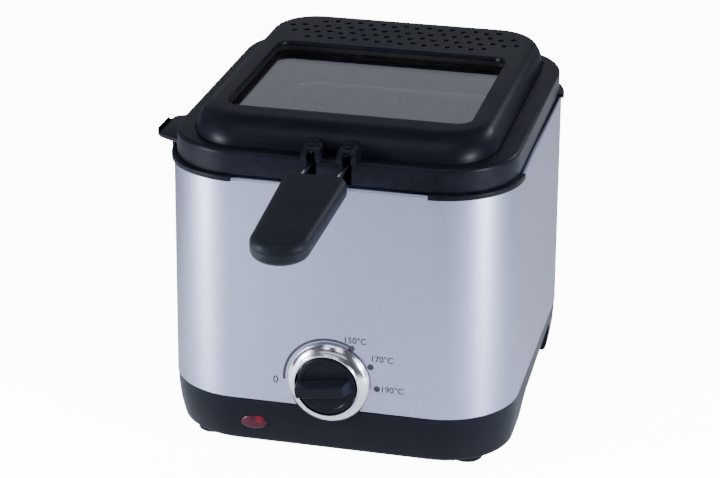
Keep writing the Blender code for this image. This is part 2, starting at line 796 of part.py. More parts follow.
def make_pot():
    depth = POT_FOOT_RADIUS
    rings = []
    for wall, floor in ((0, POT_BOTTOM), (POT_WALL, POT_FLOOR)):
        side = []
        for step in range(ROUND_STEPS):
            angle = math.radians(90 * step / ROUND_STEPS)
            radius = depth - wall
            inset = POT_INSET + POT_TAPER + wall + radius * (1 - math.sin(angle))
            side.append(body_ring(inset, floor + radius * (1 - math.cos(angle))))
        side.append(body_ring(POT_INSET + POT_TAPER + wall, floor + depth - wall))
        if wall == 0:
            side.append(body_ring(POT_INSET, POT_FLANGE_BOTTOM))
            side.append(body_ring(POT_INSET - POT_FLANGE, POT_FLANGE_BOTTOM))
            side.append(body_ring(POT_INSET - POT_FLANGE, POT_TOP))
            rings += side
        else:
            side.append(body_ring(POT_INSET + POT_WALL, POT_TOP))
            rings += reversed(side)
    part("oil_pot", loft(rings), "pot_coating")


# Heating and control


def make_element():
    half_width = ELEMENT_HALF_WIDTH
    half_depth = ELEMENT_HALF_DEPTH
    end = ELEMENT_END_SPACING
    corners = [
        (-end, ELEMENT_END_REACH, ELEMENT_Z),
        (-end, half_depth, ELEMENT_Z),
        (-half_width, half_depth, ELEMENT_Z),
        (-half_width, -half_depth, ELEMENT_Z),
        (half_width, -half_depth, ELEMENT_Z),
        (half_width, half_depth, ELEMENT_Z),
        (end, half_depth, ELEMENT_Z),
        (end, ELEMENT_END_REACH, ELEMENT_Z),
    ]
    path = rounded_path(corners, 8 * mm)
    wire("heating_element", path, ELEMENT_RADIUS, "aluminium")

    top = ELEMENT_Z - ELEMENT_RADIUS - FIT
    reach = half_width + ELEMENT_RADIUS
    half = CLAMP_WIDTH / 2
    part("element_clamp", box((-reach, -half, top - CLAMP_THICKNESS), (reach, half, top)), "aluminium")


def make_shield():
    slope = 6 * mm
    rings = [
        body_ring(SHIELD_INSET + slope, SHIELD_FLOOR),
        body_ring(SHIELD_INSET, SHIELD_TOP),
        body_ring(SHIELD_INSET + SHIELD_WALL, SHIELD_TOP),
        body_ring(SHIELD_INSET + slope + SHIELD_WALL, SHIELD_FLOOR + SHIELD_WALL),
    ]
    shield = part("heat_shield", loft(rings), "aluminium")
    holes = []
    for x, y in post_places():
        low = (x, y, SHIELD_FLOOR - 1 * mm)
        holes.append(cylinder(low, (x, y, SHIELD_FLOOR + SHIELD_WALL + 1 * mm), 2.1 * mm, 10))
    apply_shape(shield, joined(holes))

    head = SHIELD_FLOOR + SHIELD_WALL + FIT
    for number, (x, y) in enumerate(post_places(), 1):
        profile = [
            (0, head + 2.2 * mm),
            (2.4 * mm, head + 2.0 * mm),
            (3.6 * mm, head + 1.0 * mm),
            (3.6 * mm, head),
            (1.5 * mm, head),
            (1.5 * mm, head - 10 * mm),
            (0, head - 11 * mm),
        ]
        turned(f"shield_screw_{number}", profile, (x, y, 0), "aluminium", steps=10)


def thermostat_front():
    return casing_front(KNOB_Z) + CASING_WALL + 1.2 * mm


def make_thermostat():
    front = thermostat_front()
    half_height = THERMOSTAT_HEIGHT / 2
    rear = front + THERMOSTAT_DEPTH
    low = (-THERMOSTAT_HALF_WIDTH, front, KNOB_Z - half_height)
    high = (THERMOSTAT_HALF_WIDTH, rear, KNOB_Z + half_height)
    body = part("thermostat_body", box(low, high, 1.2 * mm), "insulation")
    bore = cylinder((0, front - 2 * mm, KNOB_Z), (0, rear - 4 * mm, KNOB_Z), SHAFT_RADIUS + RUNNING_FIT)
    apply_shape(body, bore)

    inner = rear - 4.5 * mm
    outer = bezel_back() - 4 * mm
    length = inner - outer
    profile = [
        (0, length),
        (SHAFT_RADIUS - 0.4 * mm, length),
        (SHAFT_RADIUS, length - 0.4 * mm),
        (SHAFT_RADIUS, 0),
        (0, 0),
    ]
    turned("thermostat_shaft", profile, (0, inner, KNOB_Z), "brass", KNOB_AXIS, facing="FRONT")

    bulb_z = POT_BOTTOM - FIT - BULB_RADIUS
    bulb_front = -BULB_LENGTH / 2
    bulb = [
        (0, BULB_LENGTH),
        (BULB_RADIUS * 0.7, BULB_LENGTH - 0.6 * mm),
        (BULB_RADIUS, BULB_LENGTH - 2 * mm),
        (BULB_RADIUS, 2 * mm),
        (BULB_RADIUS * 0.7, 0.6 * mm),
        (0, 0),
    ]
    place = (BULB_X, bulb_front + BULB_LENGTH, bulb_z)
    turned("thermostat_bulb", bulb, place, "brass", steps=12, facing="FRONT")

    up = front + 7 * mm
    start = KNOB_Z + half_height + FIT
    under = ELEMENT_Z - ELEMENT_RADIUS - CAPILLARY_RADIUS - 2 * mm
    inside = bulb_front - 16 * mm
    path = [
        (12 * mm, up, start),
        (12 * mm, up, under),
        (BULB_X, inside, under),
        (BULB_X, inside, bulb_z),
        (BULB_X, bulb_front - FIT, bulb_z),
    ]
    wire("thermostat_capillary", rounded_path(path, 1.5 * mm, 4), CAPILLARY_RADIUS, "brass")


def make_cutout():
    top = POT_BOTTOM - FIT
    profile = [
        (0, top),
        (CUTOUT_RADIUS, top),
        (CUTOUT_RADIUS, top - 3 * mm),
        (CUTOUT_RADIUS - 1.2 * mm, top - 3.6 * mm),
        (CUTOUT_RADIUS - 1.2 * mm, top - CUTOUT_HEIGHT),
        (0, top - CUTOUT_HEIGHT),
    ]
    turned("thermal_cutout", profile, (CUTOUT_X, CUTOUT_Y, 0), "insulation", steps=20)


def terminal_box():
    width, depth, height = TERMINAL_SIZE
    floor = BASE_BOTTOM + BASE_WALL + FIT
    return Vector((-width / 2, TERMINAL_Y - depth / 2, floor)), Vector(
        (width / 2, TERMINAL_Y + depth / 2, floor + height)
    )


def make_wiring():
    low, high = terminal_box()
    part("terminal_block", box(low, high, 1.0 * mm), "insulation")
    middle = (low.z + high.z) / 2
    gap = WIRE_RADIUS + FIT
    bend = 5 * mm
    gland_inner = base_rear_inner() - 2.4 * mm - 3 * FIT
    side = TERMINAL_SIZE[0] / 2
    mains = [
        (GLAND_X, gland_inner, GLAND_Z),
        (GLAND_X, TERMINAL_Y + 4 * mm, GLAND_Z),
        (-side - FIT, TERMINAL_Y + 4 * mm, GLAND_Z),
    ]
    wire("wire_mains", rounded_path(mains, bend), 2 * WIRE_RADIUS, "insulation")

    under = KNOB_Z - THERMOSTAT_HEIGHT / 2 - FIT
    well = thermostat_front() + THERMOSTAT_DEPTH / 2
    lead = 8 * mm
    feed = [
        (-lead, low.y - FIT, middle),
        (-lead, well + 1 * mm, middle),
        (-lead, well + 1 * mm, under),
    ]
    wire("wire_thermostat", rounded_path(feed, bend), WIRE_RADIUS, "insulation")

    rise = BODY_HALF_DEPTH - SHIELD_INSET + 8 * mm
    end = ELEMENT_END_REACH + FIT
    aside = side + 10 * mm
    switched = [
        (lead, well + 1 * mm, under),
        (lead, well + 1 * mm, middle),
        (aside, well + 1 * mm, middle),
        (aside, rise, middle),
        (ELEMENT_END_SPACING, rise, middle),
        (ELEMENT_END_SPACING, rise, ELEMENT_Z),
        (ELEMENT_END_SPACING, end, ELEMENT_Z),
    ]
    wire("wire_element_live", rounded_path(switched, bend), WIRE_RADIUS, "insulation")
    neutral = [
        (-ELEMENT_END_SPACING, high.y + FIT, middle),
        (-ELEMENT_END_SPACING, rise, middle),
        (-ELEMENT_END_SPACING, rise, ELEMENT_Z),
        (-ELEMENT_END_SPACING, end, ELEMENT_Z),
    ]
    wire("wire_element_neutral", rounded_path(neutral, bend), WIRE_RADIUS, "insulation")

    lamp_rear = pilot_lamp_front() + LAMP_LENGTH + FIT
    lamp = [
        (-side + gap, low.y - FIT, middle + 3 * mm),
        (-side + gap, 0, middle + 3 * mm),
        (PILOT_X, lamp_rear + 12 * mm, PILOT_Z),
        (PILOT_X, lamp_rear, PILOT_Z),
    ]
    wire("wire_pilot", rounded_path(lamp, bend), WIRE_RADIUS * 0.8, "insulation")


def base_rear_inner():
    """Y of the inner face of the base's rear wall at the gland."""
    return -base_front(GLAND_Z) - BASE_WALL


def make_gland():
    wall_out = -base_front(GLAND_Z + GLAND_RADIUS) + FIT
    wall_in = base_rear_inner() - BASE_TUCK_FRONT * 0.2 - FIT
    inner = wall_in - 2.4 * mm
    tip = wall_out + GLAND_STANDOUT
    profile = [
        (GLAND_BORE_RADIUS, 0),
        (GLAND_NECK_RADIUS, 0),
        (GLAND_NECK_RADIUS + 0.8 * mm, GLAND_STANDOUT - 2 * mm),
        (GLAND_RADIUS, GLAND_STANDOUT - 1.4 * mm),
        (GLAND_RADIUS, GLAND_STANDOUT),
        (GLAND_NECK_RADIUS, GLAND_STANDOUT),
        (GLAND_NECK_RADIUS, tip - wall_in),
        (GLAND_RADIUS - 1.4 * mm, tip - wall_in),
        (GLAND_RADIUS - 1.4 * mm, tip - inner),
        (GLAND_BORE_RADIUS, tip - inner),
    ]
    profile = [(radius, -depth) for radius, depth in profile]
    item = turned("cord_gland", profile, (GLAND_X, tip, GLAND_Z), "rubber", steps=20, facing="FRONT")
    item.rotation_euler.x = -math.pi / 2


# Dial and pilot light


def bezel_back():
    """Y of the bezel's back, which clears the casing at the ring's upper edge."""
    return casing_front(KNOB_Z + BEZEL_RADIUS) - FIT


def make_bezel():
    """A chrome ring that rises from the casing at its edge to a small lip round the knob."""
    inner = KNOB_RADIUS + BEZEL_GAP
    lip = inner + BEZEL_LIP_WIDTH
    slope = BEZEL_RADIUS - lip
    profile = [
        (inner, BEZEL_HEIGHT - 0.4 * mm),
        (inner + BEZEL_LIP_WIDTH / 2, BEZEL_HEIGHT),
        (lip, BEZEL_HEIGHT - 0.3 * mm),
        (lip + 0.4 * slope, 0.7 * BEZEL_HEIGHT),
        (lip + 0.75 * slope, 0.42 * BEZEL_HEIGHT),
        (BEZEL_RADIUS, 0.13 * BEZEL_HEIGHT),
        (BEZEL_RADIUS, 0),
        (inner, 0),
    ]
    turned("dial_bezel", profile, (0, bezel_back(), KNOB_Z), "chrome", steps=LARGE_STEPS, facing="FRONT")


def make_knob():
    back = bezel_back() - 0.3 * mm
    profile = [
        (0, KNOB_HEIGHT),
        (KNOB_RADIUS - 1.0 * mm, KNOB_HEIGHT),
        (KNOB_RADIUS, KNOB_HEIGHT - 1.0 * mm),
        (KNOB_RADIUS, 0),
        (0, 0),
    ]
    knob = turned(
        "control_knob", profile, (0, back, KNOB_Z), "black_plastic", KNOB_AXIS, LARGE_STEPS, "FRONT"
    )
    face = back - KNOB_HEIGHT
    tip = face - GRIP_BAR_HEIGHT
    pointer = back - KNOB_HEIGHT + 0.2 * mm
    half = GRIP_BAR_HALF_HEIGHT
    outline = [
        Vector((-POINTER_REACH, pointer, KNOB_Z)),
        Vector((-POINTER_REACH, tip + 2.5 * mm, KNOB_Z)),
        Vector((-POINTER_REACH + 3 * mm, tip, KNOB_Z)),
        Vector((KNOB_RADIUS - 6 * mm, tip, KNOB_Z)),
        Vector((KNOB_RADIUS - 2 * mm, pointer, KNOB_Z)),
    ]
    low = Vector((0, 0, -half))
    bar = prism([point + low for point in outline], Vector((0, 0, 2 * half)))
    turn = Matrix.Rotation(-POINTER_DROP, 3, "Y")
    bmesh.ops.rotate(bar, cent=(0, 0, KNOB_Z), matrix=turn, verts=bar.verts)
    change = knob.modifiers.new("grip bar", "BOOLEAN")
    change.operation = "UNION"
    change.object = cutter("knob_bar", bar)
    socket = cylinder((0, back + 2 * mm, KNOB_Z), (0, bezel_back() - 4.4 * mm, KNOB_Z), SHAFT_RADIUS + FIT)
    apply_shape(knob, socket)


def pilot_lamp_front():
    return pilot_seat() + 7.5 * mm


def make_pilot():
    seat = pilot_seat() - FIT
    neck = PILOT_NECK
    rear = seat + 6 * mm
    flange = base_front(PILOT_Z) - PILOT_STANDOUT
    shape = [
        (PILOT_HALF_WIDTH - neck, PILOT_HALF_HEIGHT - neck / 2 - FIT, rear),
        (PILOT_HALF_WIDTH - neck, PILOT_HALF_HEIGHT - neck / 2 - FIT, seat),
        (PILOT_HALF_WIDTH, PILOT_HALF_HEIGHT, seat),
        (PILOT_HALF_WIDTH, PILOT_HALF_HEIGHT, flange + 1.2 * mm),
        (PILOT_HALF_WIDTH * 0.85, PILOT_HALF_HEIGHT * 0.82, flange + 0.3 * mm),
        (PILOT_HALF_WIDTH * 0.5, PILOT_HALF_HEIGHT * 0.45, flange),
    ]
    part("pilot_lens", oval_loft(shape), "red_lens")
    front = pilot_lamp_front()
    profile = [
        (0, LAMP_LENGTH),
        (LAMP_RADIUS * 0.6, LAMP_LENGTH - 0.4 * mm),
        (LAMP_RADIUS, LAMP_LENGTH - 1.8 * mm),
        (LAMP_RADIUS, 0),
        (0, 0),
    ]
    place = (PILOT_X, front + LAMP_LENGTH, PILOT_Z)
    turned("pilot_lamp", profile, place, "glass", steps=12, facing="FRONT")


# Lid


def arch_prism(x, radius, bottom, rear, front, top):
    """A block along Y with a half-round top, centred on x."""
    centre = top - radius
    outline = [Vector((x + radius, rear, bottom))]
    for step in range(9):
        angle = math.pi * step / 8
        outline.append(Vector((x + radius * math.cos(angle), rear, centre + radius * math.sin(angle))))
    outline.append(Vector((x - radius, rear, bottom)))
    return prism(outline, Vector((0, front - rear, 0)))


def vent_places():
    """Centres of the vent holes, in zigzag rows between the window and the lid's rear edge."""
    places = []
    columns = int(2 * VENT_HALF_SPAN / VENT_PITCH)
    for row in range(VENT_ROWS):
        shorter = 2 if row in (0, VENT_ROWS - 1) else 0
        for column in range(shorter, columns + 1 - shorter):
            x = (column - columns / 2) * VENT_PITCH + (row % 2 - 0.5) * VENT_PITCH / 2
            swing = VENT_ZIGZAG if column % 2 else -VENT_ZIGZAG
            y = WINDOW_REAR + VENT_FRONT_GAP + row * VENT_ROW_PITCH + swing
            places.append((x, y))
    return places


def wire_places():
    return (-HANDLE_WIRE_SPACING, HANDLE_WIRE_SPACING)


def slot_cuts(rear):
    """The two keyhole slots that the handle's wires leave by, open downwards."""
    radius = SLOT_WIDTH / 2
    front = SKIRT_FRONT - HOOD_REACH - 5 * mm
    bottom = SKIRT_BOTTOM - 5 * mm
    return joined([arch_prism(x, radius, bottom, rear, front, SLOT_TOP) for x in wire_places()])


def tab_outline(grow, z):
    """The thumb tab seen from above: a blunt wedge that stands out of the lid's left side."""
    inner = -(BODY_HALF_WIDTH - SKIRT_INSET - LID_WALL - FIT - RIM_WALL / 2)
    outer = -(BODY_HALF_WIDTH - SKIRT_INSET + TAB_REACH) - grow
    return [
        Vector((inner, TAB_FRONT - TAB_TAPER - grow, z)),
        Vector((inner, TAB_REAR + TAB_TAPER + grow, z)),
        Vector((-(BODY_HALF_WIDTH - SKIRT_INSET + 3 * mm), TAB_REAR + TAB_TAPER * 0.8 + grow, z)),
        Vector((outer + 2 * mm, TAB_REAR + 2 * mm + grow, z)),
        Vector((outer, TAB_REAR - 1 * mm, z)),
        Vector((outer, TAB_FRONT + 1 * mm, z)),
        Vector((outer + 1 * mm, TAB_FRONT - 1 * mm - grow, z)),
    ]


def make_lid_shell():
    wall = LID_WALL
    outer = [
        body_ring(SKIRT_INSET, SKIRT_BOTTOM),
        body_ring(SKIRT_INSET, LEDGE_Z - SKIRT_ROUND),
        body_ring(SKIRT_INSET + 0.3 * SKIRT_ROUND, LEDGE_Z - 0.3 * SKIRT_ROUND),
        body_ring(SKIRT_INSET + SKIRT_ROUND - 0.1 * mm, LEDGE_Z),
    ]
    inner = [body_ring(SKIRT_INSET + wall, SKIRT_BOTTOM), body_ring(SKIRT_INSET + wall, LEDGE_Z - wall)]
    for step in range(ROUND_STEPS + 1):
        angle = math.radians(90 * step / ROUND_STEPS)
        outer.append(dome_ring(angle, 0))
        inner.append(dome_ring(angle, wall))
    outer.append(window_ring(0, LID_TOP))
    inner.append(window_ring(0, LID_TOP - wall))
    shell = part("lid_shell", loft(outer + list(reversed(inner)), closed=True), "black_plastic", LID_SLIDE)

    dome_front = -(BODY_HALF_DEPTH - DOME_FRONT_INSET)
    hoods = []
    for x in wire_places():
        low = LEDGE_Z - 1 * mm
        top = SLOT_TOP + HOOD_RADIUS - SLOT_WIDTH / 2
        hoods.append(arch_prism(x, HOOD_RADIUS, low, dome_front + 6 * mm, SKIRT_FRONT - HOOD_REACH, top))
    apply_shape(shell, joined(hoods), "UNION")
    rear = PIVOT_Y - EAR_RADIUS - 2 * mm
    apply_shape(shell, slot_cuts(rear))

    vents = []
    for x, y in vent_places():
        vents.append(cylinder((x, y, LID_TOP - 2 * wall), (x, y, LID_TOP + wall), VENT_RADIUS, VENT_SIDES))
    apply_shape(shell, joined(vents))

    screw_posts = []
    for x, y in lid_screw_places():
        top = (x, y, LID_TOP - wall / 2)
        screw_posts.append(cylinder((x, y, RETAINER_TOP + FIT), top, LID_SCREW_RADIUS, 10))
    apply_shape(shell, joined(screw_posts), "UNION")

    below = SKIRT_BOTTOM - 5 * mm
    above = tab_level() + TAB_THICKNESS + FIT
    apply_shape(shell, prism(tab_outline(FIT, below), Vector((0, 0, above - below))))


def tab_level():
    return SKIRT_BOTTOM + TAB_RISE


def lid_screw_places():
    side = WINDOW_HALF_WIDTH + GLASS_OVERLAP + GASKET_WALL + FIT + LID_SCREW_RADIUS + 0.3 * mm
    front = WINDOW_FRONT - GLASS_OVERLAP - GASKET_WALL - FIT - LID_SCREW_RADIUS - 0.5 * mm
    return [(-55 * mm, front), (55 * mm, front), (-side, 30 * mm), (side, 30 * mm)]


def make_lid_rim():
    """The ring inside the lid's skirt, with the thumb tab and the rib that locates it on the casing."""
    outer = SKIRT_INSET + LID_WALL + FIT
    inner = outer + RIM_WALL
    low = SKIRT_BOTTOM + FIT
    high = LEDGE_Z - LID_WALL - FIT
    rings = [
        body_ring(outer, low),
        body_ring(outer, high),
        body_ring(inner, high),
        body_ring(inner, low),
    ]
    rim = part("lid_rim", loft(rings, closed=True), "black_plastic", LID_SLIDE)
    level = tab_level()
    apply_shape(rim, prism(tab_outline(0.0, level), Vector((0, 0, TAB_THICKNESS))), "UNION")
    rib_x = -(BODY_HALF_WIDTH + CASING_BEAD + 2 * FIT + LIP_OVERHANG + TAB_RIB_WIDTH)
    rib = box(
        (rib_x, TAB_FRONT + 2 * mm, level - TAB_RIB_DROP),
        (rib_x + TAB_RIB_WIDTH, TAB_REAR - 4 * mm, level + TAB_THICKNESS / 2),
    )
    apply_shape(rim, rib, "UNION")
    side = HANDLE_WIRE_SPACING + SLOT_WIDTH / 2
    rear = PIVOT_Y - EAR_RADIUS - 2 * mm
    apply_shape(rim, box((-side, -BODY_HALF_DEPTH, low - 1 * mm), (side, rear, high + 1 * mm)))


def make_window():
    edge = GLASS_OVERLAP
    rings = [window_ring(edge, GLASS_BOTTOM), window_ring(edge, GLASS_TOP)]
    part("window_glass", loft(rings), "glass", LID_SLIDE)

    top = LID_TOP - LID_WALL - FIT
    outer = edge + GASKET_WALL
    slack = 0.3 * mm
    rings = [
        window_ring(outer, GLASS_BOTTOM - GASKET_WALL),
        window_ring(outer, top),
        window_ring(0.4 * mm, top),
        window_ring(0.4 * mm, GLASS_TOP + slack),
        window_ring(edge + slack, GLASS_TOP + slack),
        window_ring(edge + slack, GLASS_BOTTOM - slack),
        window_ring(0.4 * mm, GLASS_BOTTOM - slack),
        window_ring(0.4 * mm, GLASS_BOTTOM - GASKET_WALL),
    ]
    part("window_gasket", loft(rings, closed=True), "rubber", LID_SLIDE)

    rings = [
        window_ring(RETAINER_REACH, RETAINER_BOTTOM),
        window_ring(RETAINER_REACH, RETAINER_TOP),
        window_ring(1 * mm, RETAINER_TOP),
        window_ring(1 * mm, RETAINER_BOTTOM),
    ]
    retainer = part("window_retainer", loft(rings, closed=True), "black_plastic", LID_SLIDE)
    holes = []
    for x, y in lid_screw_places():
        holes.append(cylinder((x, y, RETAINER_BOTTOM - 1 * mm), (x, y, RETAINER_TOP + 1 * mm), 1.5 * mm, 10))
    apply_shape(retainer, joined(holes))
    bores = []
    for x, y in lid_screw_places():
        low = (x, y, RETAINER_TOP - 1 * mm)
        bores.append(cylinder(low, (x, y, RETAINER_TOP + 4.5 * mm), LID_BORE_RADIUS, 8))
    apply_shape(bpy.data.objects["lid_shell"], joined(bores))
    head = RETAINER_BOTTOM - FIT
    for number, (x, y) in enumerate(lid_screw_places(), 1):
        profile = [
            (0, head + 5.2 * mm),
            (1.0 * mm, head + 5.0 * mm),
            (1.0 * mm, head),
            (2.4 * mm, head),
            (2.4 * mm, head - 0.8 * mm),
            (1.4 * mm, head - 1.4 * mm),
            (0, head - 1.4 * mm),
        ]
        turned(f"lid_screw_{number}", profile, (x, y, 0), "aluminium", LID_SLIDE, steps=10)


def make_filter():
    half_width = VENT_HALF_SPAN + 2 * mm
    front = WINDOW_REAR + RETAINER_REACH + 1.5 * mm
    rear = WINDOW_REAR + VENT_FRONT_GAP + (VENT_ROWS - 1) * VENT_ROW_PITCH + 6 * mm
    corner = FILTER_CORNER
    top = LID_TOP - LID_WALL - FIT
    bottom = top - FILTER_THICKNESS
    pad = [ring(half_width, front, rear, corner, bottom), ring(half_width, front, rear, corner, top)]
    part("filter_pad", loft(pad), "filter", LID_SLIDE)
    cover_top = bottom - FIT
    cover_bottom = cover_top - FILTER_COVER_THICKNESS
    grow = 1 * mm
    rings = [
        ring(half_width + grow, front, rear + grow, corner, cover_bottom),
        ring(half_width + grow, front, rear + grow, corner, cover_top),
    ]
    cover = part("filter_cover", loft(rings), "black_plastic", LID_SLIDE)
    slots = []
    half_slot = FILTER_SLOT_WIDTH / 2
    for column in range(-FILTER_SLOTS, FILTER_SLOTS + 1):
        x = column * FILTER_SLOT_PITCH
        low = (x - half_slot, front + 6 * mm, cover_bottom - 1 * mm)
        slots.append(box(low, (x + half_slot, rear - 5 * mm, cover_top + 1 * mm)))
    apply_shape(cover, joined(slots))


# Basket and handle


def make_basket():
    wall = BASKET_WALL
    floor = BASKET_BOTTOM
    rings = [
        basket_ring(0, floor),
        basket_ring(0, BASKET_RIM),
        basket_ring(wall, BASKET_RIM),
        basket_ring(wall, floor + wall),
    ]
    part("basket_mesh", loft(rings), "wire_mesh", BASKET_SLIDE)
    level = BASKET_RIM + RIM_WIRE_RADIUS + FIT
    path = basket_ring(wall / 2, BASKET_RIM)
    path = [Vector((point.x, point.y, level)) for point in path]
    wire("basket_rim", path, RIM_WIRE_RADIUS, "wire_mesh", BASKET_SLIDE, closed=True)


def bracket_back():
    """Y of the rear face of the handle bracket, just in front of the basket's rim wire."""
    return -(BASKET_HALF_DEPTH + RIM_WIRE_RADIUS + FIT)


def make_bracket():
    """The bracket on the basket's front: a plate, two ears for the pivots, and the handle's stop."""
    back = bracket_back()
    front = back - BRACKET_THICKNESS
    ear = HANDLE_WIRE_SPACING + EAR_GAP
    outer = ear + EAR_THICKNESS
    stop_top = WIRE_Z - HANDLE_WIRE_RADIUS - FIT
    plate = box((-outer, front, BASKET_RIM - 12 * mm), (outer, back, WIRE_Z + EAR_RADIUS - 1 * mm))
    bracket = part("basket_bracket", plate, "wire_mesh", BASKET_SLIDE)
    low = (-outer + 0.3 * mm, PIVOT_Y - EAR_RADIUS, stop_top - BRACKET_THICKNESS)
    stop = box(low, (outer - 0.3 * mm, back - 0.3 * mm, stop_top))
    apply_shape(bracket, stop, "UNION")
    for side in (-1, 1):
        inner_face = side * ear
        outline = [Vector((inner_face, back - 0.2 * mm, stop_top - 3 * mm))]
        outline.append(Vector((inner_face, back - 0.2 * mm, WIRE_Z + EAR_RADIUS - 1.3 * mm)))
        for step in range(7):
            angle = math.radians(90 + 180 * step / 6)
            y = PIVOT_Y + EAR_RADIUS * math.cos(angle)
            outline.append(Vector((inner_face, y, WIRE_Z + EAR_RADIUS * math.sin(angle))))
        thickness = side * (EAR_THICKNESS - 0.15 * mm)
        apply_shape(bracket, prism(outline, Vector((thickness, 0, 0))), "UNION")
    reach = outer + 5 * mm
    hole = cylinder((-reach, PIVOT_Y, WIRE_Z), (reach, PIVOT_Y, WIRE_Z), HANDLE_WIRE_RADIUS + RUNNING_FIT, 12)
    apply_shape(bracket, hole)


def tilted(point):
    """A point of the grip, which is laid out level, turned down about its near end."""
    turn = Matrix.Rotation(GRIP_TILT, 3, "X")
    pivot = Vector((0, GRIP_NEAR_Y, WIRE_Z))
    return turn @ (Vector(point) - pivot) + pivot


def make_handle_wires():
    """Each wire runs from the grip through its slot and turns out through the bracket's ear."""
    for name, side in (("handle_wire_left", -1), ("handle_wire_right", 1)):
        x = side * HANDLE_WIRE_SPACING
        reach = side * (HANDLE_WIRE_SPACING + EAR_GAP + EAR_THICKNESS + 2 * mm)
        end = tilted((x, GRIP_NEAR_Y - GRIP_SOCKET, WIRE_Z))
        path = [
            (reach, PIVOT_Y, WIRE_Z),
            (x, PIVOT_Y, WIRE_Z),
            (x, GRIP_NEAR_Y, WIRE_Z),
            end,
        ]
        points = rounded_path(path[:3], 2.2 * mm, 4) + [Vector(end)]
        wire(name, points, HANDLE_WIRE_RADIUS, "chrome", HANDLE_PIVOT)


def grip_outline(inset, z):
    """The grip seen from above: a blunt near end, tapering to a round far end."""
    near = GRIP_NEAR_Y - inset
    far = GRIP_NEAR_Y - GRIP_LENGTH + inset
    wide = GRIP_NEAR_HALF_WIDTH - inset
    narrow = GRIP_FAR_HALF_WIDTH - inset
    corner = GRIP_NEAR_CORNER - inset / 2
    points = []
    for step in range(5):
        angle = math.radians(90 * step / 4)
        points.append((wide - corner + corner * math.sin(angle), near - corner + corner * math.cos(angle)))
    for step in range(7):
        angle = math.radians(90 * step / 6)
        points.append((narrow * math.cos(angle), far + narrow - narrow * math.sin(angle)))
    left = [(-x, y) for x, y in reversed(points[:-1])]
    return [tilted((x, y, z)) for x, y in points + left]


def make_grip():
    middle = WIRE_Z - 1.2 * mm
    top = middle + GRIP_THICKNESS / 2
    bottom = middle - GRIP_THICKNESS / 2
    split = WIRE_Z
    half_gap = 0.15 * mm
    channels = []
    for side in (-1, 1):
        x = side * HANDLE_WIRE_SPACING
        start = tilted((x, GRIP_NEAR_Y + 5 * mm, WIRE_Z))
        end = tilted((x, GRIP_NEAR_Y - GRIP_SOCKET - 1 * mm, WIRE_Z))
        channels.append((start, end))

    def rounded_half(edge, flat, cut):
        """Rings from the split plane to a rounded edge."""
        rings = [grip_outline(0, cut), grip_outline(0, edge)]
        for step in range(1, 4):
            angle = math.radians(30 * step)
            inset = GRIP_ROUND * (1 - math.cos(angle))
            rings.append(grip_outline(inset, edge + (flat - edge) * math.sin(angle)))
        return loft(rings)

    halves = (
        ("grip_top", rounded_half(top - GRIP_ROUND, top, split + half_gap)),
        ("grip_bottom", rounded_half(bottom + GRIP_ROUND, bottom, split - half_gap)),
    )
    for name, mesh in halves:
        half = part(name, mesh, "handle_plastic", HANDLE_PIVOT)
        bars = [cylinder(start, end, HANDLE_WIRE_RADIUS + FIT, 12) for start, end in channels]
        apply_shape(half, joined(bars))
        if name == "grip_bottom":
            recess = tilted((0, GRIP_NEAR_Y - GRIP_LENGTH / 2, bottom + 2 * mm))
            below = tilted((0, GRIP_NEAR_Y - GRIP_LENGTH / 2, bottom - 3 * mm))
            apply_shape(half, cylinder(below, recess, 3.2 * mm, 16))
    screw_low = GRIP_NEAR_Y - GRIP_LENGTH / 2
    profile = [
        (0, 1.2 * mm),
        (2.6 * mm, 1.2 * mm),
        (2.6 * mm, 0.2 * mm),
        (1.6 * mm, 0),
        (0, 0),
    ]
    place = tilted((0, screw_low, bottom + 0.4 * mm))
    screw = turned("grip_screw", profile, place, "aluminium", HANDLE_PIVOT, steps=12)
    screw.rotation_euler.x = GRIP_TILT


def centre_on_origin():
    """Moves the frame, and all that hangs from it, so that the model's box is centred on the origin."""
    bpy.context.view_layer.update()
    graph = bpy.context.evaluated_depsgraph_get()
    xs = []
    ys = []
    for item in PARTS.objects:
        if item.type == "EMPTY":
            continue
        shape = item.evaluated_get(graph)
        mesh = shape.to_mesh()
        for vert in mesh.vertices:
            point = shape.matrix_world @ vert.co
            xs.append(point.x)
            ys.append(point.y)
        shape.to_mesh_clear()
    FRAME.location = (-(min(xs) + max(xs)) / 2, -(min(ys) + max(ys)) / 2, 0)
    bpy.context.view_layer.update()


def main():
    make_base()
    make_feet()
    make_casing()
    make_collar()
    make_pot()
    make_element()
    make_shield()
    make_thermostat()
    make_cutout()
    make_wiring()
    make_gland()
    make_bezel()
    make_knob()
    make_pilot()
    make_lid_shell()
    make_lid_rim()
    make_window()
    make_filter()
    make_basket()
    make_bracket()
    make_handle_wires()
    make_grip()
    centre_on_origin()


main()
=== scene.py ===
"""Looks of a compact deep fryer: finer pieces, finishes, a pale floor, soft light and a camera.

It is laid out as an add-on and run as a script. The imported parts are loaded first; each operator
then models one piece or one group of like pieces on them.
"""

import json
import math

import bpy
from bpy.props import FloatProperty, FloatVectorProperty, IntProperty, PointerProperty, StringProperty
from mathutils import Matrix, Vector


